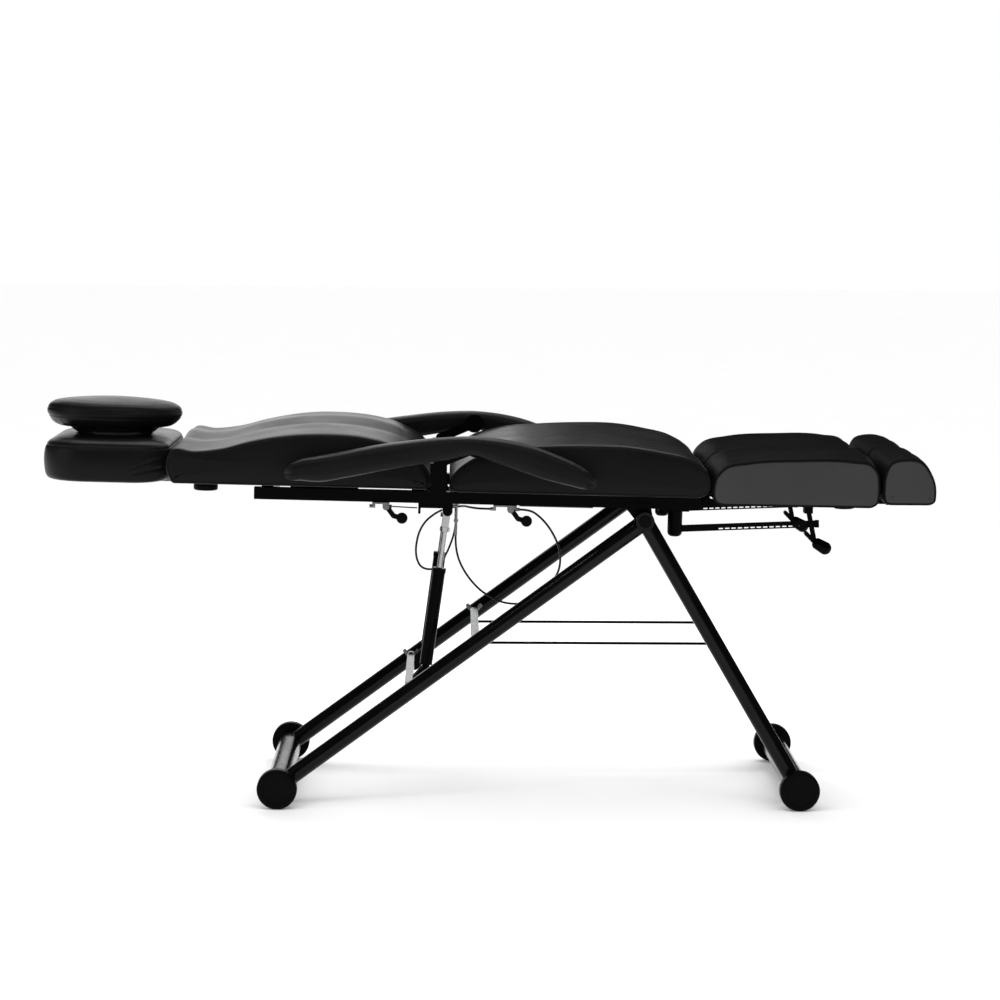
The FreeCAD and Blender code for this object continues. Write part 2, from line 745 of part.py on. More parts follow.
def bend_radius(a, b, c):
    """Radius of the arc at b, from the shorter of its two runs and half the turn."""
    run_in = b - a
    run_out = c - b
    shorter = min(run_in.Length, run_out.Length)
    half_turn = run_in.getAngle(run_out) / 2
    return cable_run_share * shorter / math.tan(half_turn)


def cable(places, r):
    """Round cable along straight runs joined by tangent arcs; also prints its least bend and length."""
    points = [V(*p) for p in places]
    edges = []
    start = points[0]
    radii = []
    for a, b, c in zip(points, points[1:], points[2:]):
        into = (b - a).normalize()
        out = (c - b).normalize()
        radius = bend_radius(a, b, c)
        cut_back = radius * math.tan(into.getAngle(out) / 2)
        first = b - into * cut_back
        last = b + out * cut_back
        inward = (out - into).normalize()
        half = into.getAngle(out) / 2
        middle = b + inward * (radius / math.cos(half) - radius)
        edges.append(Part.LineSegment(start, first).toShape())
        edges.append(Part.Arc(first, middle, last).toShape())
        start = last
        radii.append(radius)
    edges.append(Part.LineSegment(start, points[-1]).toShape())
    path = Part.Wire(edges)
    way = (points[1] - points[0]).normalize()
    section = Part.Wire(Part.makeCircle(r, points[0], way))
    body = path.makePipeShell([section], True, True)
    expected = math.pi * r ** 2 * path.Length
    print("cable: length", round(path.Length, 1), "least radius", round(min(radii), 1),
          "volume over section times length", round(body.Volume / expected, 4))
    return body


# Padded pieces: an outline in X and Z for each station across the width
edge_inset = 7.0
edge_drop = 3.0
edge_round = 11.0
edge_band = 36.0
edge_lift = 1.0


def arc_outline(points, y, inset, lift):
    """Closed outline at y: arcs through each three points and a straight underside.

    The outline is drawn in at both ends by the inset, and raised by the lift in proportion to height.
    """
    low = points[0][1]
    high = max(z for _, z in points)
    left = min(x for x, _ in points)
    right = max(x for x, _ in points)
    placed = []
    for x, z in points:
        across = (2 * x - left - right) / (right - left)
        placed.append(V(x - inset * across, y, z + lift * (z - low) / (high - low)))
    edges = [Part.Arc(*placed[i:i + 3]).toShape() for i in range(0, len(placed) - 2, 2)]
    edges.append(Part.LineSegment(placed[-1], placed[0]).toShape())
    return Part.Wire(edges)


def padded_block(points, stations):
    """Cushion lofted through its outlines; each station gives y, inset and lift."""
    return Part.makeLoft([arc_outline(points, *station) for station in stations], True, False)


def wide_stations(half, crest_share, crest, dip):
    """Stations of a cushion with a raised crest to each side and a dip along its middle."""
    near_side = [(-half, edge_inset, -edge_drop), (-half + edge_round, edge_lift, edge_lift)]
    near_side += [(-half + edge_band, 0, 2 * edge_lift)]
    near_side += [(-half * (1 + crest_share) / 2, 0, crest / 2), (-half * crest_share, 0, crest)]
    near_side += [(-half * crest_share / 2, 0, (crest + dip) / 2)]
    far_side = [(-y, inset, lift) for y, inset, lift in reversed(near_side)]
    return near_side + [(0, 0, dip)] + far_side


# Seat
board_half_y = 200.0
seat_board_head_u = -385.0
seat_board_toe_u = 105.0
board_wall = 7.9
cushion_half_y = 296.0
seat_crest_share = 0.47
seat_crest_lift = 7.0
crest_dip = -3.0
seat_points = [
    (-392.0, 55.0), (-399.0, 72.0), (-393.0, 88.0), (-358.0, 120.0), (-300.0, 140.0), (-200.0, 152.0),
    (-116.0, 156.0), (-40.0, 155.0), (20.0, 147.0), (85.0, 132.0), (117.0, 112.0), (127.0, 86.0),
    (117.0, 55.0),
]


def seat_board():
    """Board under the seat cushion, just clear of the rails' tops."""
    low = rail_top + seat_gap
    return box(seat_board_head_u, seat_board_toe_u, -board_half_y, board_half_y, low, low + board_wall)


def seat_cushion():
    """Seat cushion with a crest along each side."""
    stations = wide_stations(cushion_half_y, seat_crest_share, seat_crest_lift, crest_dip)
    return padded_block(seat_points, stations)


# Back rest: frame bars on the hinge, board and cushion
back_bar_y = 160.0
back_bar_half = 12.0
back_bar_low = 47.5
back_bar_high = 51.5
back_bar_end_u = -940.0
back_sleeve_r = 7.5
back_board_head_u = -950.0
back_board_toe_u = -445.0
back_board_wall = 7.3
back_points = [
    (-955.0, 59.1), (-968.0, 92.0), (-957.0, 126.0), (-912.0, 124.0), (-858.0, 131.0), (-800.0, 147.0),
    (-735.0, 159.0), (-650.0, 165.0), (-570.0, 160.0), (-505.0, 143.0), (-450.0, 108.0), (-437.0, 88.0),
    (-442.0, 59.1),
]
back_crest_share = 0.36
back_crest_lift = 7.5
lug_arm = 45.0
lug_half_turn_deg = 26.0
lug_r = 8.0
lug_half = 5.0
lug_pin_r = 3.0
lug_pin_half = 12.0
lug_bar_width = 30.0
stiffener_head_u = -723.5
stiffener_toe_u = -585.0
stiffener_low = 41.0


def lug_pin():
    """Place of the gas spring's pin on the back at rest, in bed coordinates."""
    turn = math.radians(lug_half_turn_deg)
    return back_hinge_u + lug_arm * math.sin(turn), back_hinge_w - lug_arm * math.cos(turn)


def back_frame():
    """Two stiffened bars with sleeves on the hinge rod, a cross bar, and the lug for the gas spring."""
    parts_of_it = []
    for side in sides:
        y0 = side * back_bar_y - back_bar_half
        y1 = side * back_bar_y + back_bar_half
        parts_of_it.append(box(back_bar_end_u, back_hinge_u, y0, y1, back_bar_low, back_bar_high))
        parts_of_it.append(box(stiffener_head_u, stiffener_toe_u, y0, y1, stiffener_low, back_bar_high))
        parts_of_it.append(cross_rod(back_hinge_u, back_hinge_w, y0, y1, back_sleeve_r))
    cross_toe = back_board_toe_u + back_sleeve_r
    cross_head = cross_toe - lug_bar_width
    parts_of_it.append(box(cross_head, cross_toe, -back_bar_y, back_bar_y, back_bar_low, back_bar_high))
    pin_u, pin_w = lug_pin()
    lug = link((back_hinge_u, back_hinge_w), (pin_u, pin_w), lug_r, -lug_half, lug_half)
    parts_of_it.append(lug)
    parts_of_it.append(box(cross_head, back_hinge_u, -lug_half, lug_half, back_bar_low, back_bar_high))
    parts_of_it.append(cross_rod(pin_u, pin_w, -lug_pin_half, lug_pin_half, lug_pin_r))
    body = parts_of_it[0].fuse(parts_of_it[1:])
    hole = cross_rod(back_hinge_u, back_hinge_w, -rail_inner_y, rail_inner_y, back_hinge_r + turn_gap)
    return body.cut(hole)


def back_board():
    """Board between the back's frame and its cushion."""
    return box(back_board_head_u, back_board_toe_u, -board_half_y, board_half_y, back_bar_high,
               back_bar_high + back_board_wall)


def back_cushion():
    """Back cushion with a crest along each side, lower towards its head end."""
    stations = wide_stations(cushion_half_y, back_crest_share, back_crest_lift, crest_dip)
    return padded_block(back_points, stations)


# Gas spring of the back: cylinder held by the frame, rod with a slotted eye on the back's lug pin
back_spring_u = -100.0
back_spring_r = 9.0
back_rod_r = 4.0
back_spring_open_u = -250.0
back_rod_end_u = -165.0
back_eye_r = 8.0
back_eye_wall = 4.0
back_eye_gap = 1.2
back_clevis_inner = 6.0
anchor_wall = 5.0
anchor_drop = 8.0


def back_spring_w():
    """Height of the back spring's axis over the tilt axis."""
    return lug_pin()[1] - lug_arm * (1 - math.cos(math.radians(lug_half_turn_deg))) / 2


def back_cylinder():
    """Cylinder on a lug under the anchor bar, open towards the head end for its rod."""
    w = back_spring_w()
    body = rod(V(back_spring_open_u, 0, w), V(back_spring_u, 0, w), back_spring_r)
    lug_toe_u = back_spring_u + anchor_wall
    lug = box(back_spring_u, lug_toe_u, -back_spring_r, back_spring_r, w - anchor_drop, rail_low)
    shelf = box(back_spring_u, anchor_bar_u, -back_spring_r, back_spring_r, rail_low - anchor_wall, rail_low)
    bore = rod(V(back_spring_open_u - overrun, 0, w), V(back_spring_u - overrun, 0, w), back_rod_r + turn_gap)
    return body.fuse([lug, shelf]).cut(bore)


def back_rod():
    """Rod with two cheeks whose upright slots ride on the lug's pin."""
    w = back_spring_w()
    pin_u, pin_w = lug_pin()
    yoke_u = pin_u + back_eye_r + lug_r
    body = rod(V(yoke_u, 0, w), V(back_rod_end_u, 0, w), back_rod_r)
    outer = back_clevis_inner + back_eye_wall
    body = body.fuse(box(yoke_u, yoke_u + back_eye_wall, -outer, outer, w - back_eye_r, w + back_eye_r))
    travel = lug_arm * (1 - math.cos(math.radians(lug_half_turn_deg)))
    for turn in sides:
        y0 = turn * back_clevis_inner
        y1 = turn * outer
        cheek = link((pin_u, pin_w), (pin_u, pin_w - travel), back_eye_r, y0, y1)
        cheek = cheek.fuse(box(pin_u, yoke_u, y0, y1, w - back_eye_r, w + back_eye_r))
        slot_r = lug_pin_r + back_eye_gap
        slot_ends = (min(y0, y1) - overrun, max(y0, y1) + overrun)
        slot = link((pin_u, pin_w), (pin_u, pin_w - travel), slot_r, *slot_ends)
        body = body.fuse(cheek.cut(slot))
    return body


# Head rest: two slide bars under the back's board, a block and a pillow in its face hole
slide_bar_y = 120.0
slide_bar_half = 12.0
slide_bar_low = 47.1
slide_bar_high = 51.1
slide_bar_toe_u = -690.0
slide_bar_head_u = -1150.0
strap_wall = 2.5
strap_half = 12.0
strap_places_u = (-900.5, -800.0)
strap_side_gap = 0.5
block_half_y = 200.0
block_head_u = -1231.0
block_toe_u = -971.0
block_head_r = 90.0
block_toe_r = 28.0
block_levels = [
    (47.0, 7.0), (55.0, 0.0), (84.0, -3.0), (113.0, 0.0), (123.0, 4.0), (130.0, 18.0), (133.5, 56.0),
]
pillow_u = -1102.5
hole_half_u = 76.0
hole_half_y = 64.0
pillow_levels = [
    (104.0, 64.0, 52.0), (116.0, 71.5, 59.5), (126.0, 75.2, 63.2), (133.0, 75.4, 63.4), (141.0, 82.0, 69.0),
    (149.0, 100.0, 83.0), (156.0, 124.5, 103.0), (162.0, 137.0, 113.0), (177.0, 142.5, 117.0),
    (192.0, 139.5, 113.5), (201.0, 128.0, 103.0), (206.5, 100.0, 78.0),
]
oval_share = 0.7071
block_corner_turns = (math.pi, 3 * math.pi / 2, 0, math.pi / 2)     # where each corner's arc starts
head_knob_r = 25.0
head_knob_low = 30.0
head_knob_high = 43.8
head_stud_r = 4.0
knob_round = 4.0


def head_straps():
    """Straps under the back's board that the slide bars run in; one of each pair takes the lock knob."""
    straps = []
    for side in sides:
        for u in strap_places_u:
            inner = slide_bar_half + strap_side_gap
            outer = inner + strap_wall
            y = side * slide_bar_y
            low = slide_bar_low - strap_side_gap
            strap = box(u - strap_half, u + strap_half, y - outer, y + outer, low - strap_wall, back_bar_high)
            top = back_bar_high + overrun
            strap = strap.cut(box(u - foot_span, u + foot_span, y - inner, y + inner, low, top))
            if side == near and u == strap_places_u[0]:
                strap = strap.cut(rod(V(u, y, low - strap_wall - overrun), V(u, y, back_bar_high),
                                      head_stud_r + turn_gap))
            straps.append(strap)
    return group(straps)


def head_slide_bars():
    """Two flat bars from the straps into the head block."""
    return group([box(slide_bar_head_u, slide_bar_toe_u, s * slide_bar_y - slide_bar_half,
                      s * slide_bar_y + slide_bar_half, slide_bar_low, slide_bar_high) for s in sides])


def plan_outline(inset, level):
    """Rounded rectangle of the head block at one level."""
    x0 = block_head_u + inset
    x1 = block_toe_u - inset
    half = block_half_y - inset
    big = block_head_r
    small = block_toe_r
    corners = [(x0 + big, -half + big, big), (x1 - small, -half + small, small)]
    corners += [(x1 - small, half - small, small), (x0 + big, half - big, big)]
    arcs = []
    for (x, y, r), start in zip(corners, block_corner_turns):
        at = [start + turn for turn in (0, math.pi / 4, math.pi / 2)]
        arcs.append([V(x + r * math.cos(a), y + r * math.sin(a), level) for a in at])
    edges = []
    for arc, following in zip(arcs, arcs[1:] + arcs[:1]):
        edges.append(Part.Arc(*arc).toShape())
        edges.append(Part.LineSegment(arc[2], following[0]).toShape())
    return Part.Wire(edges)


def ring_shares(share):
    """Eight places round an outline, the first again at the end, as shares of its half axes."""
    ring = [(1, 0), (share, share), (0, 1), (-share, share)]
    ring += [(-a, -b) for a, b in ring]
    return ring + ring[:1]


def four_arcs(points):
    """Closed wire of four arcs through the places of a ring."""
    return Part.Wire([Part.Arc(*points[i:i + 3]).toShape() for i in range(0, len(points) - 1, 2)])


def oval(x, half_x, half_y, level):
    """Oval outline at one level."""
    return four_arcs([V(x + half_x * a, half_y * b, level) for a, b in ring_shares(oval_share)])


def head_block():
    """Head block with an oval face hole and pockets for its two slide bars."""
    body = Part.makeLoft([plan_outline(inset, level) for level, inset in block_levels], True, False)
    low = block_levels[0][0]
    high = block_levels[-1][0]
    hole = Part.Face(oval(pillow_u, hole_half_u, hole_half_y, low - overrun))
    body = body.cut(hole.extrude(V(0, 0, high - low + 2 * overrun)))
    for side in sides:
        y = side * slide_bar_y
        reach = slide_bar_half + seat_gap
        body = body.cut(box(slide_bar_head_u - seat_gap, block_toe_u + overrun, y - reach, y + reach,
                            low - overrun, slide_bar_high + seat_gap))
    return body


def head_pillow():
    """Face pillow: a wide oval over a neck that stands in the face hole."""
    return Part.makeLoft([oval(pillow_u, a, b, level) for level, a, b in pillow_levels], True, False)


def head_knob():
    """Round lock knob with its stud, under the near strap."""
    u = strap_places_u[0]
    y = near * slide_bar_y
    knob = rod(V(u, y, head_knob_low), V(u, y, head_knob_high), head_knob_r)
    rims = [e for e in knob.Edges if e.Closed and e.Length > head_knob_r * math.pi]
    knob = knob.makeFillet(knob_round, rims)
    return knob.fuse(rod(V(u, y, head_knob_low + knob_round), V(u, y, slide_bar_low - seat_gap), head_stud_r))


# Arm rests: a bent strap from each rail and a pad that turns on its pin
arm_bar_head_u = -437.5
arm_bar_toe_u = -404.0
arm_bar_wall = 5.0
arm_strap_gap = 3.0         # beside the cushions
arm_strap_y = cushion_half_y + arm_strap_gap
arm_strap_wall = 5.0
arm_upright_w = 114.0
arm_slant_r = 10.0
arm_boss_u = -347.0
arm_boss_w = 147.0
arm_boss_r = 20.0
arm_pin_r = 7.0
arm_pin_reach = 31.0
arm_pin_end_y = arm_strap_y + arm_pin_reach
arm_washer_r = 11.0
arm_washer_wall = 1.7
arm_pad_set_out = 38.0
arm_pad_y = arm_strap_y + arm_pad_set_out
arm_stations = [
    (-728.0, 90.0, 14.0, 8.0), (-718.0, 91.5, 22.5, 14.0), (-697.0, 96.5, 27.0, 20.5),
    (-658.0, 100.5, 28.6, 26.0), (-610.0, 110.0, 28.6, 26.5), (-495.0, 133.0, 28.6, 25.7),
    (-410.0, 146.5, 28.6, 22.5), (-345.0, 153.5, 28.6, 18.3), (-305.0, 145.5, 28.6, 24.0),
    (-262.0, 134.5, 28.6, 27.5), (-205.0, 117.5, 28.6, 27.5), (-150.0, 99.5, 27.0, 22.5),
    (-120.0, 88.0, 22.5, 14.5), (-106.0, 83.0, 14.0, 8.0),
]
pad_corner_share = 0.84


def arm_bracket(side):
    """Flat bar on the rail, turned up outside the cushions and slanted to the arm's pin."""
    y0 = side * arm_strap_y
    y1 = side * (arm_strap_y + arm_strap_wall)
    start = side * (rail_y + slide_gap)
    bar = box(arm_bar_head_u, arm_bar_toe_u, start, y1, rail_top, rail_top + arm_bar_wall)
    upright = box(arm_bar_head_u, arm_bar_toe_u, y0, y1, rail_top, arm_upright_w)
    half = (arm_bar_toe_u - arm_bar_head_u) / 2
    root = (arm_bar_head_u + half, arm_upright_w)
    slant = link(root, (arm_boss_u, arm_boss_w), arm_slant_r, y0, y1)
    boss = cross_rod(arm_boss_u, arm_boss_w, y0, y1, arm_boss_r)
    pin = cross_rod(arm_boss_u, arm_boss_w, y0, side * arm_pin_end_y, arm_pin_r)
    washer = cross_rod(arm_boss_u, arm_boss_w, y1, y1 + side * arm_washer_wall, arm_washer_r)
    return bar.fuse([upright, slant, boss, pin, washer])


def pad_outline(u, w, half_y, half_w):
    """Rounded outline across an arm pad."""
    y = arm_pad_y * near
    return four_arcs([V(u, y + half_y * a, w + half_w * b) for a, b in ring_shares(pad_corner_share)])


def arm_pad(side):
    """Arched arm pad with drawn-in ends and a blind hole for its pin."""
    body = Part.makeLoft([pad_outline(*station) for station in arm_stations], True, False)
    hole_end = -arm_pin_end_y - slide_gap
    body = body.cut(cross_rod(arm_boss_u, arm_boss_w, hole_end, -arm_strap_y, arm_pin_r + turn_gap))
    return mirrored(body, side)


# Leg rests, drawn level about their hinge axis: x from the axis towards the feet, z up
leg_bars_y = (-195.0, -45.0)
leg_bar_half = 10.0
leg_bar_low = -7.0
leg_bar_high = 3.0
leg_bar_head_x = 12.0
leg_bar_toe_x = 300.0
knuckle_r = 9.0
strap_low = -11.0
strap_high = -7.3
leg_strap_x = ((48.0, 72.0), (280.0, 306.0))
leg_half_y = (-298.0, -5.0)
leg_crown = 10.0
leg_points = [
    (15.0, -0.5), (5.0, 30.0), (11.0, 57.0), (32.0, 79.0), (74.0, 88.0), (180.0, 94.0), (285.0, 92.0),
    (326.0, 84.0), (338.5, 68.0), (342.0, 40.0), (335.0, -4.0),
]
leg_recess_y = (-212.0, -28.0)      # under the cushion, over the frame's bars
leg_recess_high = 3.2
foot_points = [
    (354.0, 2.3), (348.5, 32.0), (352.0, 66.0), (364.0, 89.0), (389.0, 96.0), (427.0, 90.0), (446.0, 66.0),
    (455.0, 40.0), (447.0, 2.3),
]
foot_crown = 5.0


def at_leg(shape, side):
    """Sets a near-side leg-rest piece on the leg hinge, and mirrors it for the far side."""
    x, z = bed_point(leg_hinge_u, leg_hinge_w)
    placed = shape.copy()
    placed.translate(V(x, 0, z))
    return mirrored(placed, side)


def leg_stations(crown):
    """Stations across one half of the foot end, crowned in the middle."""
    outer, inner = leg_half_y
    middle = (outer + inner) / 2
    half = (inner - outer) / 2
    near_half = [(-half, edge_inset, -edge_drop), (-half + edge_round, edge_lift, edge_lift)]
    near_half += [(-half + edge_band, 0, crown / 2), (-half / 2, 0, crown)]
    far_half = [(-y, inset, lift) for y, inset, lift in reversed(near_half)]
    return [(middle + y, inset, lift) for y, inset, lift in near_half + [(0, 0, crown)] + far_half]


def leg_cushion():
    """Cushion of one leg rest, hanging a little below the tops of the bars that it lies on."""
    body = padded_block(leg_points, leg_stations(leg_crown))
    high = leg_points[-2][0]
    body = body.cut(box(-overrun, high, *leg_recess_y, -high, leg_recess_high))
    return body.cut(cross_rod(0, 0, *leg_recess_y, knuckle_r + slide_gap))


def foot_pad():
    """Foot pad at the end of one leg rest."""
    return padded_block(foot_points, leg_stations(foot_crown))


# Frame of a leg rest: two bars on the hinge rod, straps under them, and ears for the latch
latch_x = 209.0
latch_z = -19.0
latch_ears_y = ((-204.0, -201.0), (-184.0, -181.0))
latch_ear_half = 9.0
latch_ear_low = -25.0
latch_pin_r = 3.0
foot_stud_x = 293.0
foot_stud_y = -110.0
foot_stud_r = 4.0


def leg_frame():
    """Two bars with sleeves on the hinge rod, joined by two straps, with a pair of latch ears."""
    outer_y, inner_y = leg_bars_y
    body = None
    for y in leg_bars_y:
        y0 = y - leg_bar_half
        y1 = y + leg_bar_half
        bar = box(leg_bar_head_x, leg_bar_toe_x, y0, y1, leg_bar_low, leg_bar_high)
        neck = box(0, leg_bar_head_x, y0, y1, leg_bar_low, leg_bar_high)
        bar = bar.fuse([neck, cross_rod(0, 0, y0, y1, knuckle_r)])
        body = bar if body is None else body.fuse(bar)
    for x0, x1 in leg_strap_x:
        body = body.fuse(box(x0, x1, outer_y - leg_bar_half, inner_y + leg_bar_half, strap_low, strap_high))
        for y in leg_bars_y:
            body = body.fuse(box(x0, x1, y - leg_bar_half, y + leg_bar_half, strap_high, leg_bar_low))
    for y0, y1 in latch_ears_y:
        ear = box(latch_x - latch_ear_half, latch_x + latch_ear_half, y0, y1, latch_ear_low, leg_bar_high)
        body = body.fuse(ear)
    body = body.fuse(cross_rod(latch_x, latch_z, latch_ears_y[0][0], latch_ears_y[1][1], latch_pin_r))
    body = body.cut(cross_rod(0, 0, -leg_rod_half - overrun, 0, leg_hinge_r + turn_gap))
    low = V(foot_stud_x, foot_stud_y, strap_low - overrun)
    high = V(foot_stud_x, foot_stud_y, strap_high + overrun)
    return body.cut(rod(low, high, foot_stud_r + turn_gap))


# Latch under a leg rest: link with an oval knob, and a hook pin that reaches under the ladder bar
latch_link_y = (-200.5, -197.5)
latch_link_x = 222.5
latch_link_z = -84.0
latch_link_r = 5.0
hook_x = 206.0
hook_z = -67.0
hook_r = 4.5
hook_end_y = -184.0
grip_x = 220.0              # the grip's small end
grip_z = -82.5
grip_lean_deg = 30.0        # its axis under the level
grip_length = 41.0
grip_small_r = 11.0
grip_big_r = 14.5
grip_small_round = 9.5
grip_big_round = 13.0


def latch():
    """Link on the latch pin, with its hook pin and the grip."""
    y0, y1 = latch_link_y
    link_body = link((latch_x, latch_z), (latch_link_x, latch_link_z), latch_link_r, y0, y1)
    link_body = link_body.fuse(link((latch_link_x, latch_link_z), (hook_x, hook_z), hook_r, y0, y1))
    link_body = link_body.fuse(cross_rod(hook_x, hook_z, y0, hook_end_y, hook_r))
    hole = cross_rod(latch_x, latch_z, y0 - overrun, y1 + overrun, latch_pin_r + turn_gap)
    return link_body.cut(hole)


def latch_grip():
    """Egg-shaped grip round the end of the latch link."""
    grip = Part.makeCone(grip_small_r, grip_big_r, grip_length, V(0, 0, 0), V(1, 0, 0))
    for end, rounding in ((0, grip_small_round), (grip_length, grip_big_round)):
        rims = [e for e in grip.Edges if e.Closed and abs(e.CenterOfMass.x - end) < seat_gap]
        grip = grip.makeFillet(rounding, rims)
    grip.rotate(V(0, 0, 0), V(0, 1, 0), grip_lean_deg)
    grip.translate(V(grip_x, sum(latch_link_y) / 2, grip_z))
    return grip.cut(latch())


# Ladder bar: from its post to the latch, with a row of slots in its lower half
ladder_end_x = 689.0
ladder_end_z = 581.0
ladder_slots = 13
ladder_pitch = 13.0
ladder_first = 90.0
ladder_slot_length = 9.0
ladder_slot_low = -4.5
ladder_slot_high = -1.7
ladder_block_length = 8.0
ladder_block_half = 7.5


def ladder_bar(side):
    """Slotted flat bar on its post's pin, with a stop block at its free end."""
    eye_x, eye_z = bed_point(post_u, ladder_pin_w)
    length = math.hypot(ladder_end_x - eye_x, ladder_end_z - eye_z)
    half = ladder_height / 2
    wall = ladder_wall / 2
    bar = box(0, length, -wall, wall, -half, half).fuse(cross_rod(0, 0, -wall, wall, ladder_eye_r))
    bar = bar.cut(cross_rod(0, 0, -wall - overrun, wall + overrun, ladder_pin_r + turn_gap))
    for n in range(ladder_slots):
        x = ladder_first + n * ladder_pitch
        bar = bar.cut(box(x, x + ladder_slot_length, -wall - overrun, wall + overrun, ladder_slot_low,
                          ladder_slot_high))
    block = box(length - ladder_block_length, length, -ladder_wall, ladder_wall, -ladder_block_half,
                ladder_block_half)
    bar = bar.fuse(block)
    rise = math.degrees(math.atan2(ladder_end_z - eye_z, ladder_end_x - eye_x))
    bar.rotate(V(0, 0, 0), V(0, 1, 0), -rise)
    bar.translate(V(eye_x, near * post_y, eye_z))
    return mirrored(bar, side)


# Foot slide: two bars beside the leg frame's bars, and the plate that carries the foot pad
slide_bars_y = ((-180.4, -166.4), (-73.6, -59.6))
slide_low = -7.0
slide_high = 2.0
slide_head_x = 150.0
slide_toe_x = 446.0
foot_plate_x = (362.0, 440.0)
foot_plate_y = (-240.0, -20.0)
foot_plate_low = -2.5
foot_knob_low = -24.0
foot_knob_high = -11.3
foot_knob_r = 22.0


def foot_slide():
    """Two bars in the leg rest and the plate under its foot pad."""
    body = box(foot_plate_x[0], foot_plate_x[1], foot_plate_y[0], foot_plate_y[1], foot_plate_low, slide_high)
    for y0, y1 in slide_bars_y:
        body = body.fuse(box(slide_head_x, slide_toe_x, y0, y1, slide_low, slide_high))
    return body.removeSplitter()


def foot_knob():
    """Round lock knob with its stud, under the strap of one leg rest."""
    foot = V(foot_stud_x, foot_stud_y, foot_knob_low)
    top = V(foot_stud_x, foot_stud_y, foot_knob_high)
    knob = rod(foot, top, foot_knob_r)
    rims = [e for e in knob.Edges if e.Closed and e.Length > foot_knob_r * math.pi]
    knob = knob.makeFillet(knob_round, rims)
    stud_top = V(foot_stud_x, foot_stud_y, strap_high)
    return knob.fuse(rod(foot + V(0, 0, knob_round), stud_top, foot_stud_r))


# Release wire from the back lever to the tab of the near spring's bracket
wire_r = 1.3
wire_toe_u = channel_head_u - 2 * wire_r
wire_tab_gap = 3.0


def release_wire():
    """Thin wire between the back lever's ferrule and the near channel's tab."""
    u0 = ferrule_end("back", 1)
    y1 = near * (spring_y + spring_eye_width / 2 + wire_tab_gap)
    start = V(u0 + wire_r, ferrule_y, ferrule_w)
    end = V(wire_toe_u, y1, channel_low)
    return rod(start, end, wire_r)


# Nodes
save("foot_tubes", group([floor_tube(x) for x in (foot_head_x, foot_toe_x)]))
save("foot_caps", group([floor_cap(x, s) for x in (foot_head_x, foot_toe_x) for s in sides]))
for name, side in zip(("near", "far"), sides):
    save("leg_head_" + name, head_leg(side))
    save("leg_toe_" + name, toe_leg(side))
    save("tilt_spring_cylinder_" + name, spring_cylinder(side))
    save("tilt_spring_rod_" + name, spring_rod(side))
    save("arm_pad_" + name, in_bed(arm_pad(side)))
    save("leg_frame_" + name, at_leg(leg_frame(), side))
    save("leg_cushion_" + name, at_leg(leg_cushion(), side))
    save("leg_latch_" + name, at_leg(group([latch(), latch_grip()]), side))
    save("ladder_bar_" + name, ladder_bar(side))
    save("foot_slide_" + name, at_leg(foot_slide(), side))
    save("foot_pad_" + name, at_leg(foot_pad(), side))
    save("foot_knob_" + name, at_leg(foot_knob(), side))
save("apex_tube", apex_tube())
save("apex_plugs", group([apex_plug(s) for s in sides]))
save("head_leg_crossbars", group([leg_cross_bar(x) for x in (upper_bar_x, lower_bar_x)]))
save("toe_leg_crossbar", toe_cross_bar())
save("tie_rods", tie_rods())
save("nuts", tie_nuts())
save("spring_feet", spring_feet())
save("frame_tubes", in_bed(group(rails() + frame_bars())))
save("rail_plugs", in_bed(rail_plugs()))
save("tilt_hinge_plates", in_bed(hinge_plates()))
save("spring_channels", in_bed(spring_channels()))
save("cable_adjusters", in_bed(cable_adjusters()))
save("back_hinge_rod", in_bed(back_hinge()))
save("leg_hinge_rod", in_bed(leg_hinge()))
save("ladder_posts", in_bed(group([ladder_post(s) for s in sides])))
save("lever_brackets", in_bed(group([lever_bracket(kind) for kind in ("back", "tilt")])))
save("back_lever", in_bed(release_lever("back")))
save("tilt_lever", in_bed(release_lever("tilt")))
save("release_wire", in_bed(release_wire()))
save("cable_near", cable(ferrule_points(far) + near_cable_points + adjuster_points(near), cable_r))
save("cable_far", cable(ferrule_points(near) + far_cable_points + adjuster_points(far), cable_r))
save("seat_board", in_bed(seat_board()))
save("seat_cushion", in_bed(seat_cushion()))
save("arm_brackets", in_bed(group([arm_bracket(s) for s in sides])))
save("back_frame", in_bed(back_frame()))
save("back_board", in_bed(back_board()))
save("back_cushion", in_bed(back_cushion()))
save("back_spring_cylinder", in_bed(back_cylinder()))
save("back_spring_rod", in_bed(back_rod()))
save("head_straps", in_bed(head_straps()))
save("head_slide_bars", in_bed(head_slide_bars()))
save("head_block", in_bed(head_block()))
save("head_pillow", in_bed(head_pillow()))
save("head_knob", in_bed(head_knob()))
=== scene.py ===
import math
import bpy
import numpy as np
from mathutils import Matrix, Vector


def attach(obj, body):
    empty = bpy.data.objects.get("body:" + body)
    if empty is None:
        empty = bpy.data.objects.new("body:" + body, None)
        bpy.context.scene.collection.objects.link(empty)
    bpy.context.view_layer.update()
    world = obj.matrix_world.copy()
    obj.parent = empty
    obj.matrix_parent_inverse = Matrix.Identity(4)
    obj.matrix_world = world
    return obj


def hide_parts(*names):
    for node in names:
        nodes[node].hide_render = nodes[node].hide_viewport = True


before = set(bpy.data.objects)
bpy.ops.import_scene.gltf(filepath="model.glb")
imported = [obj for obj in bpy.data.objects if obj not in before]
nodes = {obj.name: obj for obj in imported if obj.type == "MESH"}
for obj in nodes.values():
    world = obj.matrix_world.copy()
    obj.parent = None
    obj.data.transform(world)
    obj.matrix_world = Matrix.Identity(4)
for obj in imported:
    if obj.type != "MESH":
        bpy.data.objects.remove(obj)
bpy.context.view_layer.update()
MM = 0.001

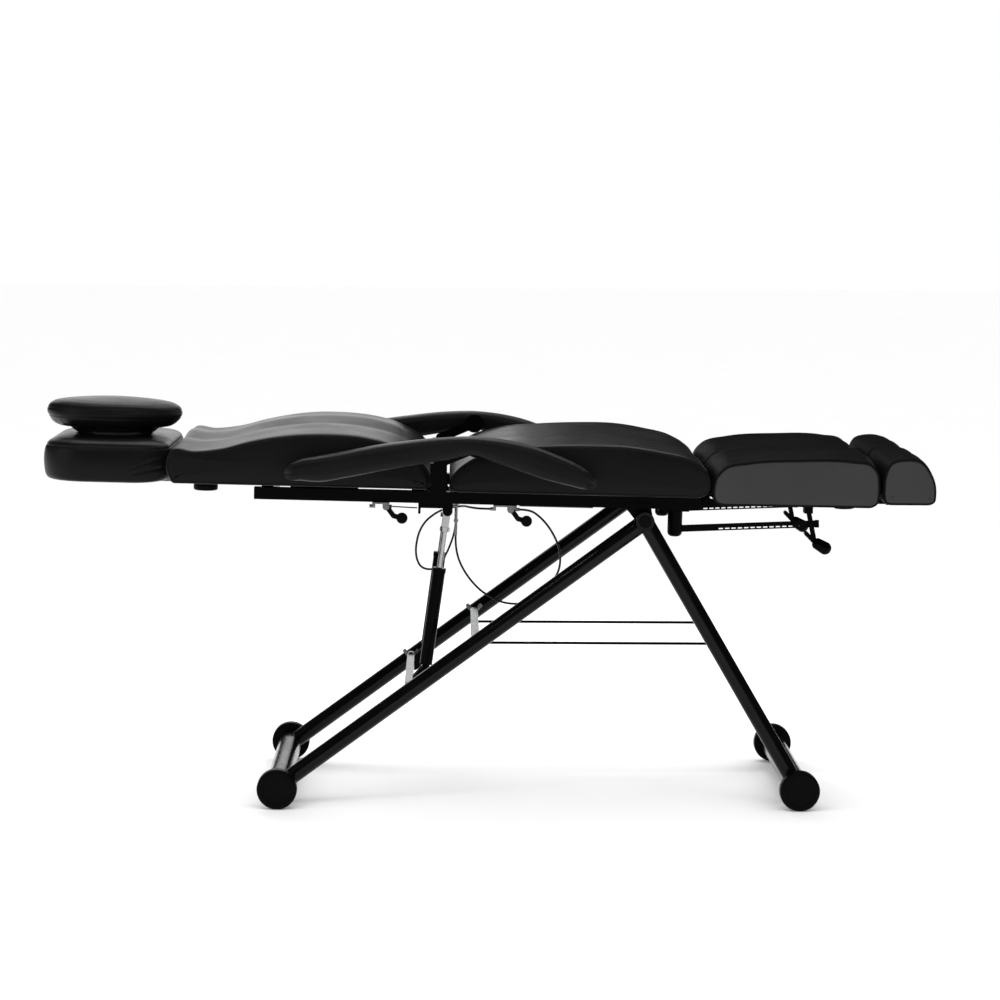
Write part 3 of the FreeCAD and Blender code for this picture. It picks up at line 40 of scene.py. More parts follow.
# The bed's rest tilt and tilt axis, and the leg rests' hinge axis, in millimetres as in the CAD model
TILT = math.radians(1.1)
APEX = (329.5, 589.5)
LEG_U, LEG_W = 126.7, 41.0
LEG = (APEX[0] + LEG_U * math.cos(TILT) + LEG_W * math.sin(TILT),
       APEX[1] - LEG_U * math.sin(TILT) + LEG_W * math.cos(TILT))


def in_bed(p):
    """Points given along the bed (u, y, w) to X, Y and Z of the chair."""
    p = np.asarray(p, float)
    x = APEX[0] + p[..., 0] * math.cos(TILT) + p[..., 2] * math.sin(TILT)
    z = APEX[1] - p[..., 0] * math.sin(TILT) + p[..., 2] * math.cos(TILT)
    return np.stack([x, p[..., 1], z], axis=-1)


def at_leg(p):
    """Points given from the leg hinge axis to X, Y and Z of the chair."""
    return np.asarray(p, float) + np.array([LEG[0], 0.0, LEG[1]])


# Camera, as the photograph's
lens = bpy.data.cameras.new("camera")
lens.lens = 108.0
lens.sensor_width = 36.0
lens.clip_start = 0.1
lens.clip_end = 200.0
camera = bpy.data.objects.new("camera", lens)
camera.location = (-0.05883, -6.28305, 1.27129)
camera.rotation_euler = (1.4653268, -0.0069806, -0.0147832)
bpy.context.scene.collection.objects.link(camera)
bpy.context.scene.camera = camera
bpy.context.scene.view_settings.view_transform = "Standard"


# Cables: the CAD routes as control points, in millimetres
CABLE = 4.4
WIRE = 2.6
NEAR_ROUTE = [
    (118.0, -197.0, 592.5), (133.0, -197.0, 576.0), (144.5, -197.0, 558.5), (152.5, -197.0, 542.0),
    (158.2, -196.0, 524.0), (160.2, -194.5, 505.7), (158.4, -192.0, 486.3), (151.5, -189.0, 468.9),
    (135.8, -185.0, 447.1), (117.1, -180.0, 427.1), (96.2, -175.0, 414.8), (75.2, -169.0, 409.2),
    (54.2, -163.0, 409.1), (33.1, -158.0, 413.8), (11.9, -153.0, 424.6), (-5.1, -149.5, 436.4),
    (-22.1, -146.0, 453.8), (-35.8, -142.5, 472.5), (-47.8, -139.0, 495.5),
]
FAR_ROUTE = [
    (-19.0, -186.0, 609.5), (-29.0, -166.0, 609.0), (-35.0, -143.0, 608.0), (-43.0, -123.0, 606.0),
    (-58.0, -111.0, 603.0), (-76.0, -108.5, 599.0), (-92.0, -108.0, 592.0), (-105.0, -107.0, 583.0),
    (-116.5, -104.5, 572.5), (-125.5, -101.5, 559.0), (-132.4, -98.5, 542.4), (-136.2, -97.0, 522.0),
    (-137.0, -96.5, 506.9), (-134.8, -95.0, 491.7), (-128.9, -91.0, 478.3), (-119.5, -84.0, 470.5),
    (-107.6, -73.0, 467.5), (-97.0, -58.0, 467.0), (-90.0, -34.0, 468.5), (-86.0, -6.0, 470.5),
    (-83.5, 24.0, 472.5), (-81.0, 54.0, 474.0), (-77.0, 82.0, 476.5), (-70.5, 108.0, 485.0),
]


def cord(name, route, diameter, node):
    """Cable on one smooth spline whose control points are the route's."""
    data = bpy.data.curves.new(name, "CURVE")
    data.dimensions = "3D"
    data.bevel_depth = diameter / 2 * MM
    data.bevel_resolution = 6
    data.use_fill_caps = True
    line = data.splines.new("NURBS")
    line.points.add(len(route) - 1)
    line.points.foreach_set("co", np.hstack([np.asarray(route) * MM, np.ones((len(route), 1))]).ravel())
    line.order_u = 3
    line.use_endpoint_u = True
    line.resolution_u = 10
    made = bpy.data.objects.new(name, data)
    bpy.context.scene.collection.objects.link(made)
    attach(made, "tilt_frame")
    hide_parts(node)
    tuple(np.asarray(route[0]) * MM)
    return made


def bed_row(*points):
    """Control points given along the bed."""
    return [tuple(q) for q in in_bed(points)]


cords = [
    cord("near_cable", bed_row((-254, -195.5, 13), (-232, -195.5, 13)) + NEAR_ROUTE
         + bed_row((-383, -134, -72), (-383, -134, -50)), CABLE, "cable_near"),
    cord("far_cable", bed_row((-314, -195.5, 13), (-336, -195.5, 13)) + FAR_ROUTE
         + bed_row((-383, 134, -72), (-383, 134, -50)), CABLE, "cable_far"),
    cord("pull_wire", bed_row((-513.2, -195.5, 13), (-499, -181, 11), (-479, -160.5, 8), (-464.1, -145, 6)),
         WIRE, "release_wire"),
]


# Materials
class Tree:
    """Short way to write a node tree: t(kind, input=value or socket) gives the new node.

    Spaces in an input's name are written as underscores, and _0 stands for the first input.
    """

    def __init__(self, owner):
        self.tree = owner.node_tree
        self.tree.nodes.clear()

    def __call__(self, kind, settings=None, **inputs):
        made = self.tree.nodes.new(kind)
        for key, value in (settings or {}).items():
            setattr(made, key, value)
        for key, value in inputs.items():
            key = int(key[1:]) if key[0] == "_" else key.replace("_", " ")
            self.put(made.inputs[key], value)
        return made

    def put(self, socket, value):
        if isinstance(value, bpy.types.NodeSocket):
            self.tree.links.new(value, socket)
        else:
            socket.default_value = value


def new_material(name):
    """A material and its empty tree."""
    made = bpy.data.materials.new(name)
    made.use_nodes = True
    return made, Tree(made)


def tone(t, field, low, high):
    """Colour between two tones by a field from 0 to 1."""
    mix = t("ShaderNodeMix", {"data_type": "RGBA"})
    t.put(mix.inputs["Factor"], field)
    t.put(mix.inputs["A"], (*low, 1.0))
    t.put(mix.inputs["B"], (*high, 1.0))
    return mix.outputs["Result"]


def spread(t, field, low, high):
    """A field from 0.3 to 0.7 spread from low to high."""
    made = t("ShaderNodeMapRange", None, Value=field, From_Min=0.3, From_Max=0.7, To_Min=low, To_Max=high)
    return made.outputs["Result"]


def close(t, shader):
    """Joins the shader to the material's output."""
    out = t("ShaderNodeOutputMaterial")
    t.put(out.inputs["Surface"], shader.outputs["BSDF"])


def vinyl(name, low, high, rough=(0.28, 0.38), specular=0.08, grain=0.00012):
    """Coated upholstery fabric: pebbled grain of small cells, faint stretch marks and uneven gloss."""
    made, t = new_material(name)
    at = t("ShaderNodeTexCoord").outputs["Object"]
    cells = t("ShaderNodeTexVoronoi", {"feature": "DISTANCE_TO_EDGE"}, Vector=at, Scale=620.0)
    fine = t("ShaderNodeTexNoise", None, Vector=at, Scale=1500.0, Detail=2.0)
    broad = t("ShaderNodeTexNoise", None, Vector=at, Scale=9.0, Detail=3.0)
    soft = t("ShaderNodeTexNoise", None, Vector=at, Scale=34.0, Detail=2.0, Distortion=0.6)
    pebble = t("ShaderNodeMapRange", None, Value=cells.outputs["Distance"], From_Max=0.35)
    both = t("ShaderNodeMath", {"operation": "MULTIPLY_ADD"}, _0=fine.outputs[0], _1=0.25, _2=pebble.outputs[0])
    skin = t("ShaderNodeBump", None, Height=both.outputs[0], Distance=grain, Strength=0.8)
    wave = t("ShaderNodeBump", None, Height=soft.outputs[0], Distance=0.0008, Strength=0.35, Normal=skin.outputs[0])
    body = t("ShaderNodeBsdfPrincipled", None, Base_Color=tone(t, broad.outputs[0], low, high),
             Roughness=spread(t, broad.outputs[0], *rough), Normal=wave.outputs[0])
    body.inputs["Specular IOR Level"].default_value = specular
    close(t, body)
    return made


def paint(name, low, high, rough, specular):
    """Baked powder paint: orange-peel skin with faint dust and handling marks."""
    made, t = new_material(name)
    at = t("ShaderNodeTexCoord").outputs["Object"]
    peel = t("ShaderNodeTexNoise", None, Vector=at, Scale=900.0, Detail=2.0)
    broad = t("ShaderNodeTexNoise", None, Vector=at, Scale=22.0, Detail=4.0)
    skin = t("ShaderNodeBump", None, Height=peel.outputs[0], Distance=0.00006, Strength=0.6)
    body = t("ShaderNodeBsdfPrincipled", None, Base_Color=tone(t, broad.outputs[0], low, high),
             Roughness=spread(t, broad.outputs[0], *rough), Normal=skin.outputs[0])
    body.inputs["Specular IOR Level"].default_value = specular
    close(t, body)
    return made


def metal(name, low, high, rough, scale=60.0):
    """Plated steel: cloudy tone, fine drawing marks and uneven gloss."""
    made, t = new_material(name)
    at = t("ShaderNodeTexCoord").outputs["Object"]
    cloud = t("ShaderNodeTexNoise", None, Vector=at, Scale=scale, Detail=4.0)
    fine = t("ShaderNodeTexNoise", None, Vector=at, Scale=1400.0, Detail=2.0)
    skin = t("ShaderNodeBump", None, Height=fine.outputs[0], Distance=0.00003, Strength=0.5)
    body = t("ShaderNodeBsdfPrincipled", None, Base_Color=tone(t, cloud.outputs[0], low, high),
             Roughness=spread(t, cloud.outputs[0], *rough), Normal=skin.outputs[0])
    body.inputs["Metallic"].default_value = 1.0
    close(t, body)
    return made


def timber(name):
    """Plywood with long grain along X."""
    made, t = new_material(name)
    at = t("ShaderNodeTexCoord").outputs["Object"]
    stretched = t("ShaderNodeMapping", None, Vector=at, Scale=(3.0, 40.0, 160.0))
    rings = t("ShaderNodeTexNoise", None, Vector=stretched.outputs[0], Scale=2.2, Detail=6.0, Distortion=1.4)
    skin = t("ShaderNodeBump", None, Height=rings.outputs[0], Distance=0.0003, Strength=0.4)
    body = t("ShaderNodeBsdfPrincipled", None,
             Base_Color=tone(t, rings.outputs[0], (0.020, 0.013, 0.008), (0.055, 0.038, 0.024)),
             Roughness=spread(t, rings.outputs[0], 0.5, 0.75), Normal=skin.outputs[0])
    close(t, body)
    return made


# Looks of the CAD slots: dark tone, bright tone, roughness from and to, specular level
looks = {
    "black_vinyl": vinyl("black_vinyl_look", (0.0032, 0.0032, 0.0034), (0.0054, 0.0054, 0.0056)),
    "black_paint": paint("black_paint_look", (0.0006, 0.0006, 0.0007), (0.0020, 0.0020, 0.0021),
                         (0.18, 0.28), 0.03),
    "zinc": metal("zinc_look", (0.04, 0.04, 0.042), (0.30, 0.31, 0.32), (0.22, 0.38), 150.0),
    "chrome_rod": metal("chrome_rod_look", (0.30, 0.30, 0.31), (0.52, 0.52, 0.54), (0.08, 0.16)),
    "black_plastic": paint("black_plastic_look", (0.0012, 0.0012, 0.0013), (0.0030, 0.0030, 0.0032),
                           (0.30, 0.45), 0.04),
    "cable_sheath": paint("cable_sheath_look", (0.0025, 0.0025, 0.0027), (0.0060, 0.0060, 0.0064),
                          (0.30, 0.42), 0.2),
    "board_wood": timber("board_wood_look"),
}
for c in cords:
    c.data.materials.append(looks["cable_sheath"])

# Looks of single pieces, finer than their slots
# The leg and foot cushions' side panels: the same black vinyl painted several times lighter, painted light standing
# in for the light that falls on those sides
painted_lit_panel = vinyl("painted_lit_panel_look", (0.028, 0.028, 0.029), (0.036, 0.036, 0.037), (0.40, 0.52), 0.1)
arm_look = vinyl("arm_look", (0.0022, 0.0022, 0.0024), (0.0046, 0.0046, 0.0048), (0.32, 0.46), 0.11, 0.0002)
leg_top = vinyl("leg_top_look", (0.0030, 0.0030, 0.0032), (0.0060, 0.0060, 0.0062), (0.42, 0.52), 0.008)
thread = paint("thread_look", (0.006, 0.006, 0.006), (0.018, 0.018, 0.018), (0.55, 0.7), 0.3)
tube_look = paint("tube_look", (0.0008, 0.0008, 0.0009), (0.0026, 0.0026, 0.0028), (0.12, 0.20), 0.14)
TUBES = ("leg_head", "leg_toe", "foot_tubes", "apex_tube", "tilt_cylinder", "back_spring_cylinder")

for name, item in nodes.items():
    for spot in item.material_slots:
        old = spot.material.name.split(".")[0]
        if old == "black_paint" and name.startswith(TUBES):
            spot.material = tube_look
        elif old in looks:
            spot.material = looks[old]


# Surfaces. ROUND is the number of points on a row that stands for a smooth outline before it is thinned out.
ROUND = 2400


def spline(x, knots, values):
    """Smooth curve through the values at the knots: a cubic in each span, its end slopes from both neighbours."""
    k = np.asarray(knots, float)
    v = np.asarray(values, float)
    v = v.reshape(len(k), -1)
    gap = np.diff(k)[:, None]
    slope = np.diff(v, axis=0) / gap
    inner = (slope[1:] * gap[:-1] + slope[:-1] * gap[1:]) / (gap[1:] + gap[:-1])
    m = np.vstack([slope[:1], inner, slope[-1:]])
    x = np.asarray(x, float)
    i = np.clip(np.searchsorted(k, x, side="right") - 1, 0, len(k) - 2)
    h = gap[i]
    s = (x[:, None] - k[i][:, None]) / h
    a = v[i] * (1 + 2 * s) * (1 - s) ** 2 + m[i] * h * s * (1 - s) ** 2
    b = v[i + 1] * s ** 2 * (3 - 2 * s) + m[i + 1] * h * s ** 2 * (s - 1)
    return a + b


def run_lengths(p):
    """Distance along a row of points."""
    return np.concatenate([[0.0], np.cumsum(np.linalg.norm(np.diff(p, axis=0), axis=1))])


def even(p, n):
    """The row of points p at n even steps of its length, the last one left out."""
    run = run_lengths(p)
    at = np.linspace(0, run[-1], n + 1)[:-1]
    return np.stack([np.interp(at, run, p[:, k]) for k in range(p.shape[1])], axis=1)


def soften(ring, reach):
    """Closed row of points with its corners rounded: each coordinate smoothed by a bell curve of that reach."""
    n = len(ring)
    step = run_lengths(np.vstack([ring, ring[:1]]))[-1] / n
    wave = np.fft.rfftfreq(n) * 2 * np.pi * reach / step
    return np.fft.irfft(np.fft.rfft(ring, axis=0) * np.exp(-wave ** 2 / 2)[:, None], n, axis=0)


def outline(points, n, reach):
    """Closed outline in X and Z: a smooth curve through the points and a straight underside, corners rounded.

    It starts in the middle of the underside and runs up the left end, over the top and back.
    """
    p = np.asarray(points, float)
    chord = run_lengths(p)
    top = spline(np.linspace(0, chord[-1], ROUND // 2), chord, p)
    start = (p[0] + p[-1]) / 2
    ring = soften(even(np.vstack([start, top, start]), ROUND), reach)
    return even(np.vstack([ring, ring[:1]]), n)


def outward(ring):
    """Unit normals of a closed outline that runs as outline() makes it."""
    along = np.roll(ring, -1, axis=0) - np.roll(ring, 1, axis=0)
    along /= np.linalg.norm(along, axis=1)[:, None]
    return np.stack([-along[:, 1], along[:, 0]], axis=1)


def ripple(a, b, seed, count=7, low=0.6, high=2.2):
    """Gentle unevenness, about -1 to 1: a sum of waves over a and b whose directions and phases the seed fixes."""
    rng = np.random.default_rng(seed)
    total = 0.0
    for _ in range(count):
        turn = rng.uniform(0, 2 * np.pi)
        pace = rng.uniform(low, high)
        total = total + np.sin(pace * (a * np.cos(turn) + b * np.sin(turn)) + rng.uniform(0, 2 * np.pi))
    return total / math.sqrt(count)


def make(name, grids, body, look, around=True, along=False, poles=()):
    """One mesh object from grids of points in millimetres (rows, columns, 3).

    Columns close on themselves if around, rows if along; poles gives, for each grid, the end points that close it.
    """
    verts, faces, base = [], [], 0
    for n, g in enumerate(grids):
        rows, cols = g.shape[:2]
        verts.append(g.reshape(-1, 3))
        r = np.arange(rows if along else rows - 1)
        c = np.arange(cols if around else cols - 1)
        rr, cc = np.meshgrid(r, c, indexing="ij")
        r1, c1 = (rr + 1) % rows, (cc + 1) % cols
        quads = np.stack([rr * cols + cc, rr * cols + c1, r1 * cols + c1, r1 * cols + cc], axis=-1).reshape(-1, 4)
        faces.extend((quads + base).tolist())
        size = rows * cols
        for k, pole in enumerate(poles[n] if poles else ()):
            verts.append(np.asarray(pole, float).reshape(1, 3))
            ring = np.arange(cols)
            row = 0 if k == 0 else rows - 1
            a, b = ring + row * cols, (ring + 1) % cols + row * cols
            a, b = (b, a) if k == 0 else (a, b)
            fan = np.stack([a + base, b + base, np.full(cols, base + size)], axis=-1)
            faces.extend(fan.tolist())
            size += 1
        base += size
    mesh = bpy.data.meshes.new(name)
    mesh.from_pydata((np.vstack(verts) * MM).tolist(), [], faces)
    mesh.polygons.foreach_set("use_smooth", np.ones(len(mesh.polygons), bool))
    mesh.update()
    made = bpy.data.objects.new(name, mesh)
    bpy.context.scene.collection.objects.link(made)
    mesh.materials.append(look)
    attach(made, body)
    return made


def paint_faces(made, look, chosen):
    """Gives a second material to the chosen faces."""
    made.data.materials.append(look)
    made.data.polygons.foreach_set("material_index", np.asarray(chosen, np.int32))


# Stitches, in millimetres: from one to the next, and a thread's length and radius
PITCH = 5.5
THREAD_LONG = 3.6
THREAD_THICK = 0.42


def stitches(name, paths, body):
    """Rows of short threads: a capsule at each even step along each path (points, outward normals), half sunk."""
    turn = np.linspace(0, 2 * np.pi, 7)[:-1]
    lift = np.array([-1.0, -0.8, 0.8, 1.0])
    girth = np.array([0.35, 1.0, 1.0, 0.35])
    grids, ends = [], []
    for points, normals in paths:
        run = run_lengths(points)
        at = np.arange(PITCH / 2, run[-1] - PITCH / 2, PITCH)
        p = np.stack([np.interp(at, run, points[:, k]) for k in range(3)], axis=1)
        q = np.stack([np.interp(at + 0.5, run, points[:, k]) for k in range(3)], axis=1)
        n = np.stack([np.interp(at, run, normals[:, k]) for k in range(3)], axis=1)
        n /= np.linalg.norm(n, axis=1)[:, None]
        way = q - p
        way /= np.linalg.norm(way, axis=1)[:, None]
        side = np.cross(way, n)
        ring = (n[:, None, None] * np.cos(turn)[None, None, :, None]
                + side[:, None, None] * np.sin(turn)[None, None, :, None])
        g = (p[:, None, None] + way[:, None, None] * (lift * THREAD_LONG / 2)[None, :, None, None]
             + ring * (girth * THREAD_THICK)[None, :, None, None])
        grids.extend(list(g))
        ends.extend(zip(p - way * THREAD_LONG / 2, p + way * THREAD_LONG / 2))
    return make(name, grids, body, thread, poles=ends)


# Side panel of a box cushion. EDGE has the distances in from the outline at which its rows lie, and SHARES how far
# the inner rows lie from its middle towards the last of them. Then the radius of its corner, its seam's place, depth
# and width, how far and how soon it swells past the seam, the height of its middle, and half the bed's width.
EDGE = np.array([0.0, 0.25, 0.7, 1.3, 2.0, 2.7, 3.2, 3.6, 3.9, 4.2, 4.5, 4.8, 5.2, 5.8, 6.8, 8.4, 11.0, 15.0])
SHARES = (0.16, 0.32, 0.48, 0.62, 0.74, 0.84, 0.92, 0.96)
CORNER = 3.4
SEAM_AT = 4.2
SEAM_DEEP = 1.3
SEAM_WIDE = 0.55
BULGE = 3.6
BULGE_REACH = 22.0
MIDDLE = 0.46
HALF_WIDE = 292.0


def edge_y(d):
    """How far a side panel stands out past its corner's start, at a distance d in from the outline."""
    d = np.asarray(d, float)
    corner = np.sqrt(np.maximum(CORNER ** 2 - (CORNER - np.minimum(d, CORNER)) ** 2, 0.0))
    puff = BULGE * (1 - np.exp(-np.maximum(d - SEAM_AT, 0) / BULGE_REACH))
    groove = SEAM_DEEP * np.exp(-((d - SEAM_AT) / SEAM_WIDE) ** 2)
    return corner + puff - groove


def box_cushion(points, y0, y1, lift, columns, rows, shape):
    """Grid and poles of a box cushion.

    Along a row: round the outline in X and Z. From row to row: from the middle of the near panel out to its seam,
    round the corner, across the top and underside, and back in on the far panel. The outline is raised by lift(y),
    less towards the underside, and shape(grid) adds creases.
    """
    ring = outline(points, columns, 2.5)
    out = outward(ring)
    low, high = ring[:, 1].min(), ring[:, 1].max()
    centre = np.array([(ring[:, 0].min() + ring[:, 0].max()) / 2, low + (high - low) * MIDDLE])
    inner = ring - out * EDGE[-1]
    panel = [(centre + (soften(inner, 10 + 50 * (1 - s)) - centre) * s,
              edge_y(EDGE[-1] + (1 - s) * (high - low) / 2)) for s in SHARES]
    panel += [(ring - out * d, edge_y(d)) for d in EDGE[::-1]]
    inside = np.linspace(y0 + CORNER, y1 - CORNER, rows)[1:-1]
    flat = np.stack([layer for layer, _ in panel] + [ring] * len(inside) + [layer for layer, _ in panel[::-1]])
    y = np.concatenate([[y0 + CORNER - e for _, e in panel], inside, [y1 - CORNER + e for _, e in panel[::-1]]])
    grid = np.stack([flat[..., 0], np.repeat(y[:, None], columns, axis=1), flat[..., 1]], axis=-1)
    share = (grid[..., 2] - low) / (high - low)
    grid[..., 2] += lift(y)[:, None] * np.clip(share, 0, 1)
    tip = edge_y(high)
    poles = [np.array([centre[0], end, centre[1]]) for end in (y0 + CORNER - tip, y1 - CORNER + tip)]
    return shape(grid), poles


def seam_rows(grid):
    """The two rows of a box cushion's grid that lie in its side seams."""
    inside = int(np.argmin(np.abs(EDGE - SEAM_AT)))
    first = len(SHARES) + len(EDGE) - 1 - inside
    return first, grid.shape[0] - 1 - first


def side_faces(grid):
    """1 for each quad of a box cushion's grid that belongs to a side panel, else 0, the poles' fans last."""
    first, last = seam_rows(grid)
    rows = np.arange(grid.shape[0] - 1)
    chosen = ((rows < first) | (rows >= last)).astype(np.int32)
    return np.concatenate([np.repeat(chosen, grid.shape[1]), np.ones(2 * grid.shape[1], np.int32)])


def side_stitches(grid):
    """Paths and normals of the stitches beside both side seams, three rows outside them."""
    first, last = seam_rows(grid)
    paths = []
    for row, turn in ((first + 3, -1), (last - 3, 1)):
        p = np.vstack([grid[row], grid[row][:1]])
        n = p - grid[row].mean(axis=0)
        n[:, 1] = 0
        n /= np.linalg.norm(n, axis=1)[:, None]
        n[:, 1] = turn * 0.6
        paths.append((p, n / np.linalg.norm(n, axis=1)[:, None]))
    return paths


def crown(half, middle):
    """Lift over y, the same on both sides of a middle; half has the pairs (y, lift) that come before that one."""
    table = np.array(half + [middle] + [(2 * middle[0] - y, lift) for y, lift in half[::-1]], float)
    return lambda y: spline(y, table[:, 0], table[:, 1])[:, 0]


def raised_sides(crest_y, crest):
    """Crown of a wide cushion: low at its side seams, a crest along each side and a dip along the middle."""
    return crown([(-300, -3.5), (-296, -3), (-285, 1), (-260, 2), ((-296 - crest_y) / 2, crest / 2),
                  (-crest_y, crest), (-crest_y / 2, crest / 2 - 1.5)], (0, -3))


# Outlines of the cushions over their straight undersides, from the left: u and w along the bed
SEAT = [(-385.0, 55.0), (-396.0, 60.0), (-399.0, 72.0), (-393.0, 88.0), (-358.0, 120.0), (-300.0, 140.0),
        (-200.0, 152.0), (-116.0, 156.0), (-40.0, 155.0), (20.0, 147.0), (85.0, 132.0), (117.0, 112.0),
        (127.0, 88.0), (126.0, 72.0), (118.0, 61.0), (102.0, 55.0)]
BACK = [(-955.0, 59.1), (-968.0, 92.0), (-957.0, 126.0), (-912.0, 124.0), (-858.0, 131.0), (-800.0, 147.0),
        (-735.0, 159.0), (-650.0, 165.0), (-570.0, 160.0), (-505.0, 143.0), (-450.0, 108.0), (-437.0, 88.0),
        (-442.0, 59.1)]


def seat_shape(g):
    """Unevenness of the seat's top."""
    x, y, z = g[..., 0], g[..., 1], g[..., 2]
    top = np.clip((z - 80) / 50, 0, 1)
    g[..., 2] += 0.7 * ripple(x / 60, y / 60, 3) * top
    return g


def back_shape(g):
    """Unevenness of the back's top, and folds in its cover at the end by the seat."""
    x, y, z = g[..., 0], g[..., 1], g[..., 2]
    top = np.clip((z - 90) / 50, 0, 1)
    g[..., 2] += 0.7 * ripple(x / 60, y / 60, 5) * top
    side = np.clip((np.abs(y) - 288) / 6, 0, 1)
    near_end = np.exp(-((x + 452) / 20) ** 2) * np.clip((130 - z) / 20, 0, 1)
    folds = np.sin((x + 0.35 * z) / 3.4 + 0.6 * np.sin(z / 14)) * near_end
    g[..., 1] += np.sign(y) * 1.3 * folds * side
    g[..., 2] -= 1.0 * near_end * (1 - side) * np.sin(y / 16)
    return g


def upholster(name, grid, poles, place, body, node, top=None, panel=None):
    """Cushion piece with its side stitches; top is its look, and panel that of its side panels if they differ."""
    g = place(grid)
    ends = tuple(place(p) for p in poles)
    made = make(name, [g], body, top or looks["black_vinyl"], poles=[ends])
    if panel is not None:
        paint_faces(made, panel, side_faces(grid))
    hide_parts(node)
    stitches(name + "_stitches", [(place(p), n) for p, n in side_stitches(grid)], body)


seat_grid, seat_poles = box_cushion(SEAT, -HALF_WIDE, HALF_WIDE, raised_sides(139, 7.0), 220, 96, seat_shape)
upholster("seat_cover", seat_grid, seat_poles, in_bed, "tilt_frame", "seat_cushion")
back_grid, back_poles = box_cushion(BACK, -HALF_WIDE, HALF_WIDE, raised_sides(107, 7.5), 220, 96, back_shape)
upholster("back_cover", back_grid, back_poles, in_bed, "back_rest", "back_cushion")

# Outlines of the foot end's cushions, from the leg hinge axis
LEGREST = [(24.0, -0.5), (11.0, 5.5), (5.5, 20.0), (6.0, 36.0), (11.0, 57.0), (32.0, 79.0), (74.0, 88.0),
           (180.0, 94.0), (285.0, 92.0), (326.0, 84.0), (338.5, 68.0), (342.0, 44.0), (341.5, 20.0), (337.0, 3.0),
           (325.0, -4.0)]
FOOT = [(362.0, 2.3), (353.0, 6.0), (349.0, 18.0), (348.8, 38.0), (352.0, 66.0), (364.0, 89.0), (389.0, 96.0),
        (427.0, 90.0), (446.0, 66.0), (454.5, 42.0), (455.5, 22.0), (453.0, 8.0), (443.0, 2.3)]
MIRROR = np.array([1.0, -1.0, 1.0])


def half_lift(crest):
    """Crown across one half of the foot end."""
    return crown([(-304, -4), (-298, -3), (-287, 1), (-262, crest / 2), (-225, crest)], (-151.5, crest))


def half_shape(seed):
    """Unevenness of a foot-end cushion's top, and its underside kept above the bars that carry it."""
    def shape(g):
        y, z = g[..., 1], g[..., 2]
        g[..., 2] += 0.6 * ripple(g[..., 0] / 45, y / 45, seed) * np.clip((z - 40) / 40, 0, 1)
        # 1 over the frame's bars, 0 outside them
        bars = np.clip((-y - 22) / 5, 0, 1) * np.clip((y + 218) / 5, 0, 1)
        g[..., 2] = np.maximum(g[..., 2], 9.5 * bars - 6.0)
        return g
    return shape


# The leg and foot cushions' side panels get the painted-lighter vinyl, painted light on those sides
for label, points, node, body, crest, seed in (("leg_cover", LEGREST, "leg_cushion", "leg_rest", 10.0, 11),
                                               ("foot_cover", FOOT, "foot_pad", "foot_rest", 5.0, 13)):
    grid, poles = box_cushion(points, -294.0, -9.0, half_lift(crest), 180, 60, half_shape(seed))
    upholster(label + "_near", grid, poles, at_leg, body + "_near", node + "_near", leg_top, painted_lit_panel)
    upholster(label + "_far", (grid * MIRROR)[::-1], [p * MIRROR for p in poles[::-1]], at_leg, body + "_far",
              node + "_far", leg_top, painted_lit_panel)


# Head block, face pillow and arm pads
def plan_ring(n):
    """Rounded rectangle of the head block in u and y: large corners at the head end, smaller ones at the back."""
    rows = []
    for u, y, r, start in ((-1141, -110, 90, 180), (-1031, -140, 60, 270),
                           (-1031, 140, 60, 0), (-1141, 110, 90, 90)):
        a = np.radians(np.linspace(start, start + 90, 40))
        rows.append(np.stack([u + r * np.cos(a), y + r * np.sin(a)], axis=1))
    ring = np.vstack(rows)
    ring = soften(even(np.vstack([ring, ring[:1]]), 1600), 5.0)
    return even(np.vstack([ring, ring[:1]]), n)


# Middle and half lengths of the oval face hole
PILLOW_U = -1102.5
HOLE_U, HOLE_Y = 82, 70
# Side of the head block from the underside up: distance in from its plan, and height. CREASE_ROWS are the points of
# the seam's crease, which the grid holds exactly. BLOCK_TOP is the top's height and BLOCK_UNDER the underside's.
CREASE_ROWS = (13, 14, 15)
SIDE_ROWS = 70
BLOCK_TOP = 133.3
BLOCK_UNDER = 47.5
SIDE_PATH = [(60, 47.0), (24, 47.0), (12, 47.2), (7, 48.5), (3, 51.5), (0.6, 56), (-1.2, 64), (-2.6, 74),
             (-3.2, 84), (-2.8, 95), (-1.6, 105), (-0.3, 111), (0.6, 114.2), (1.4, 116.2), (3.0, 117.1),
             (2.4, 118.6), (3.6, 121.0), (6.5, 124.5), (11, 127.4), (18, 129.8), (28, 131.6), (40, 132.8),
             (52, 133.3)]


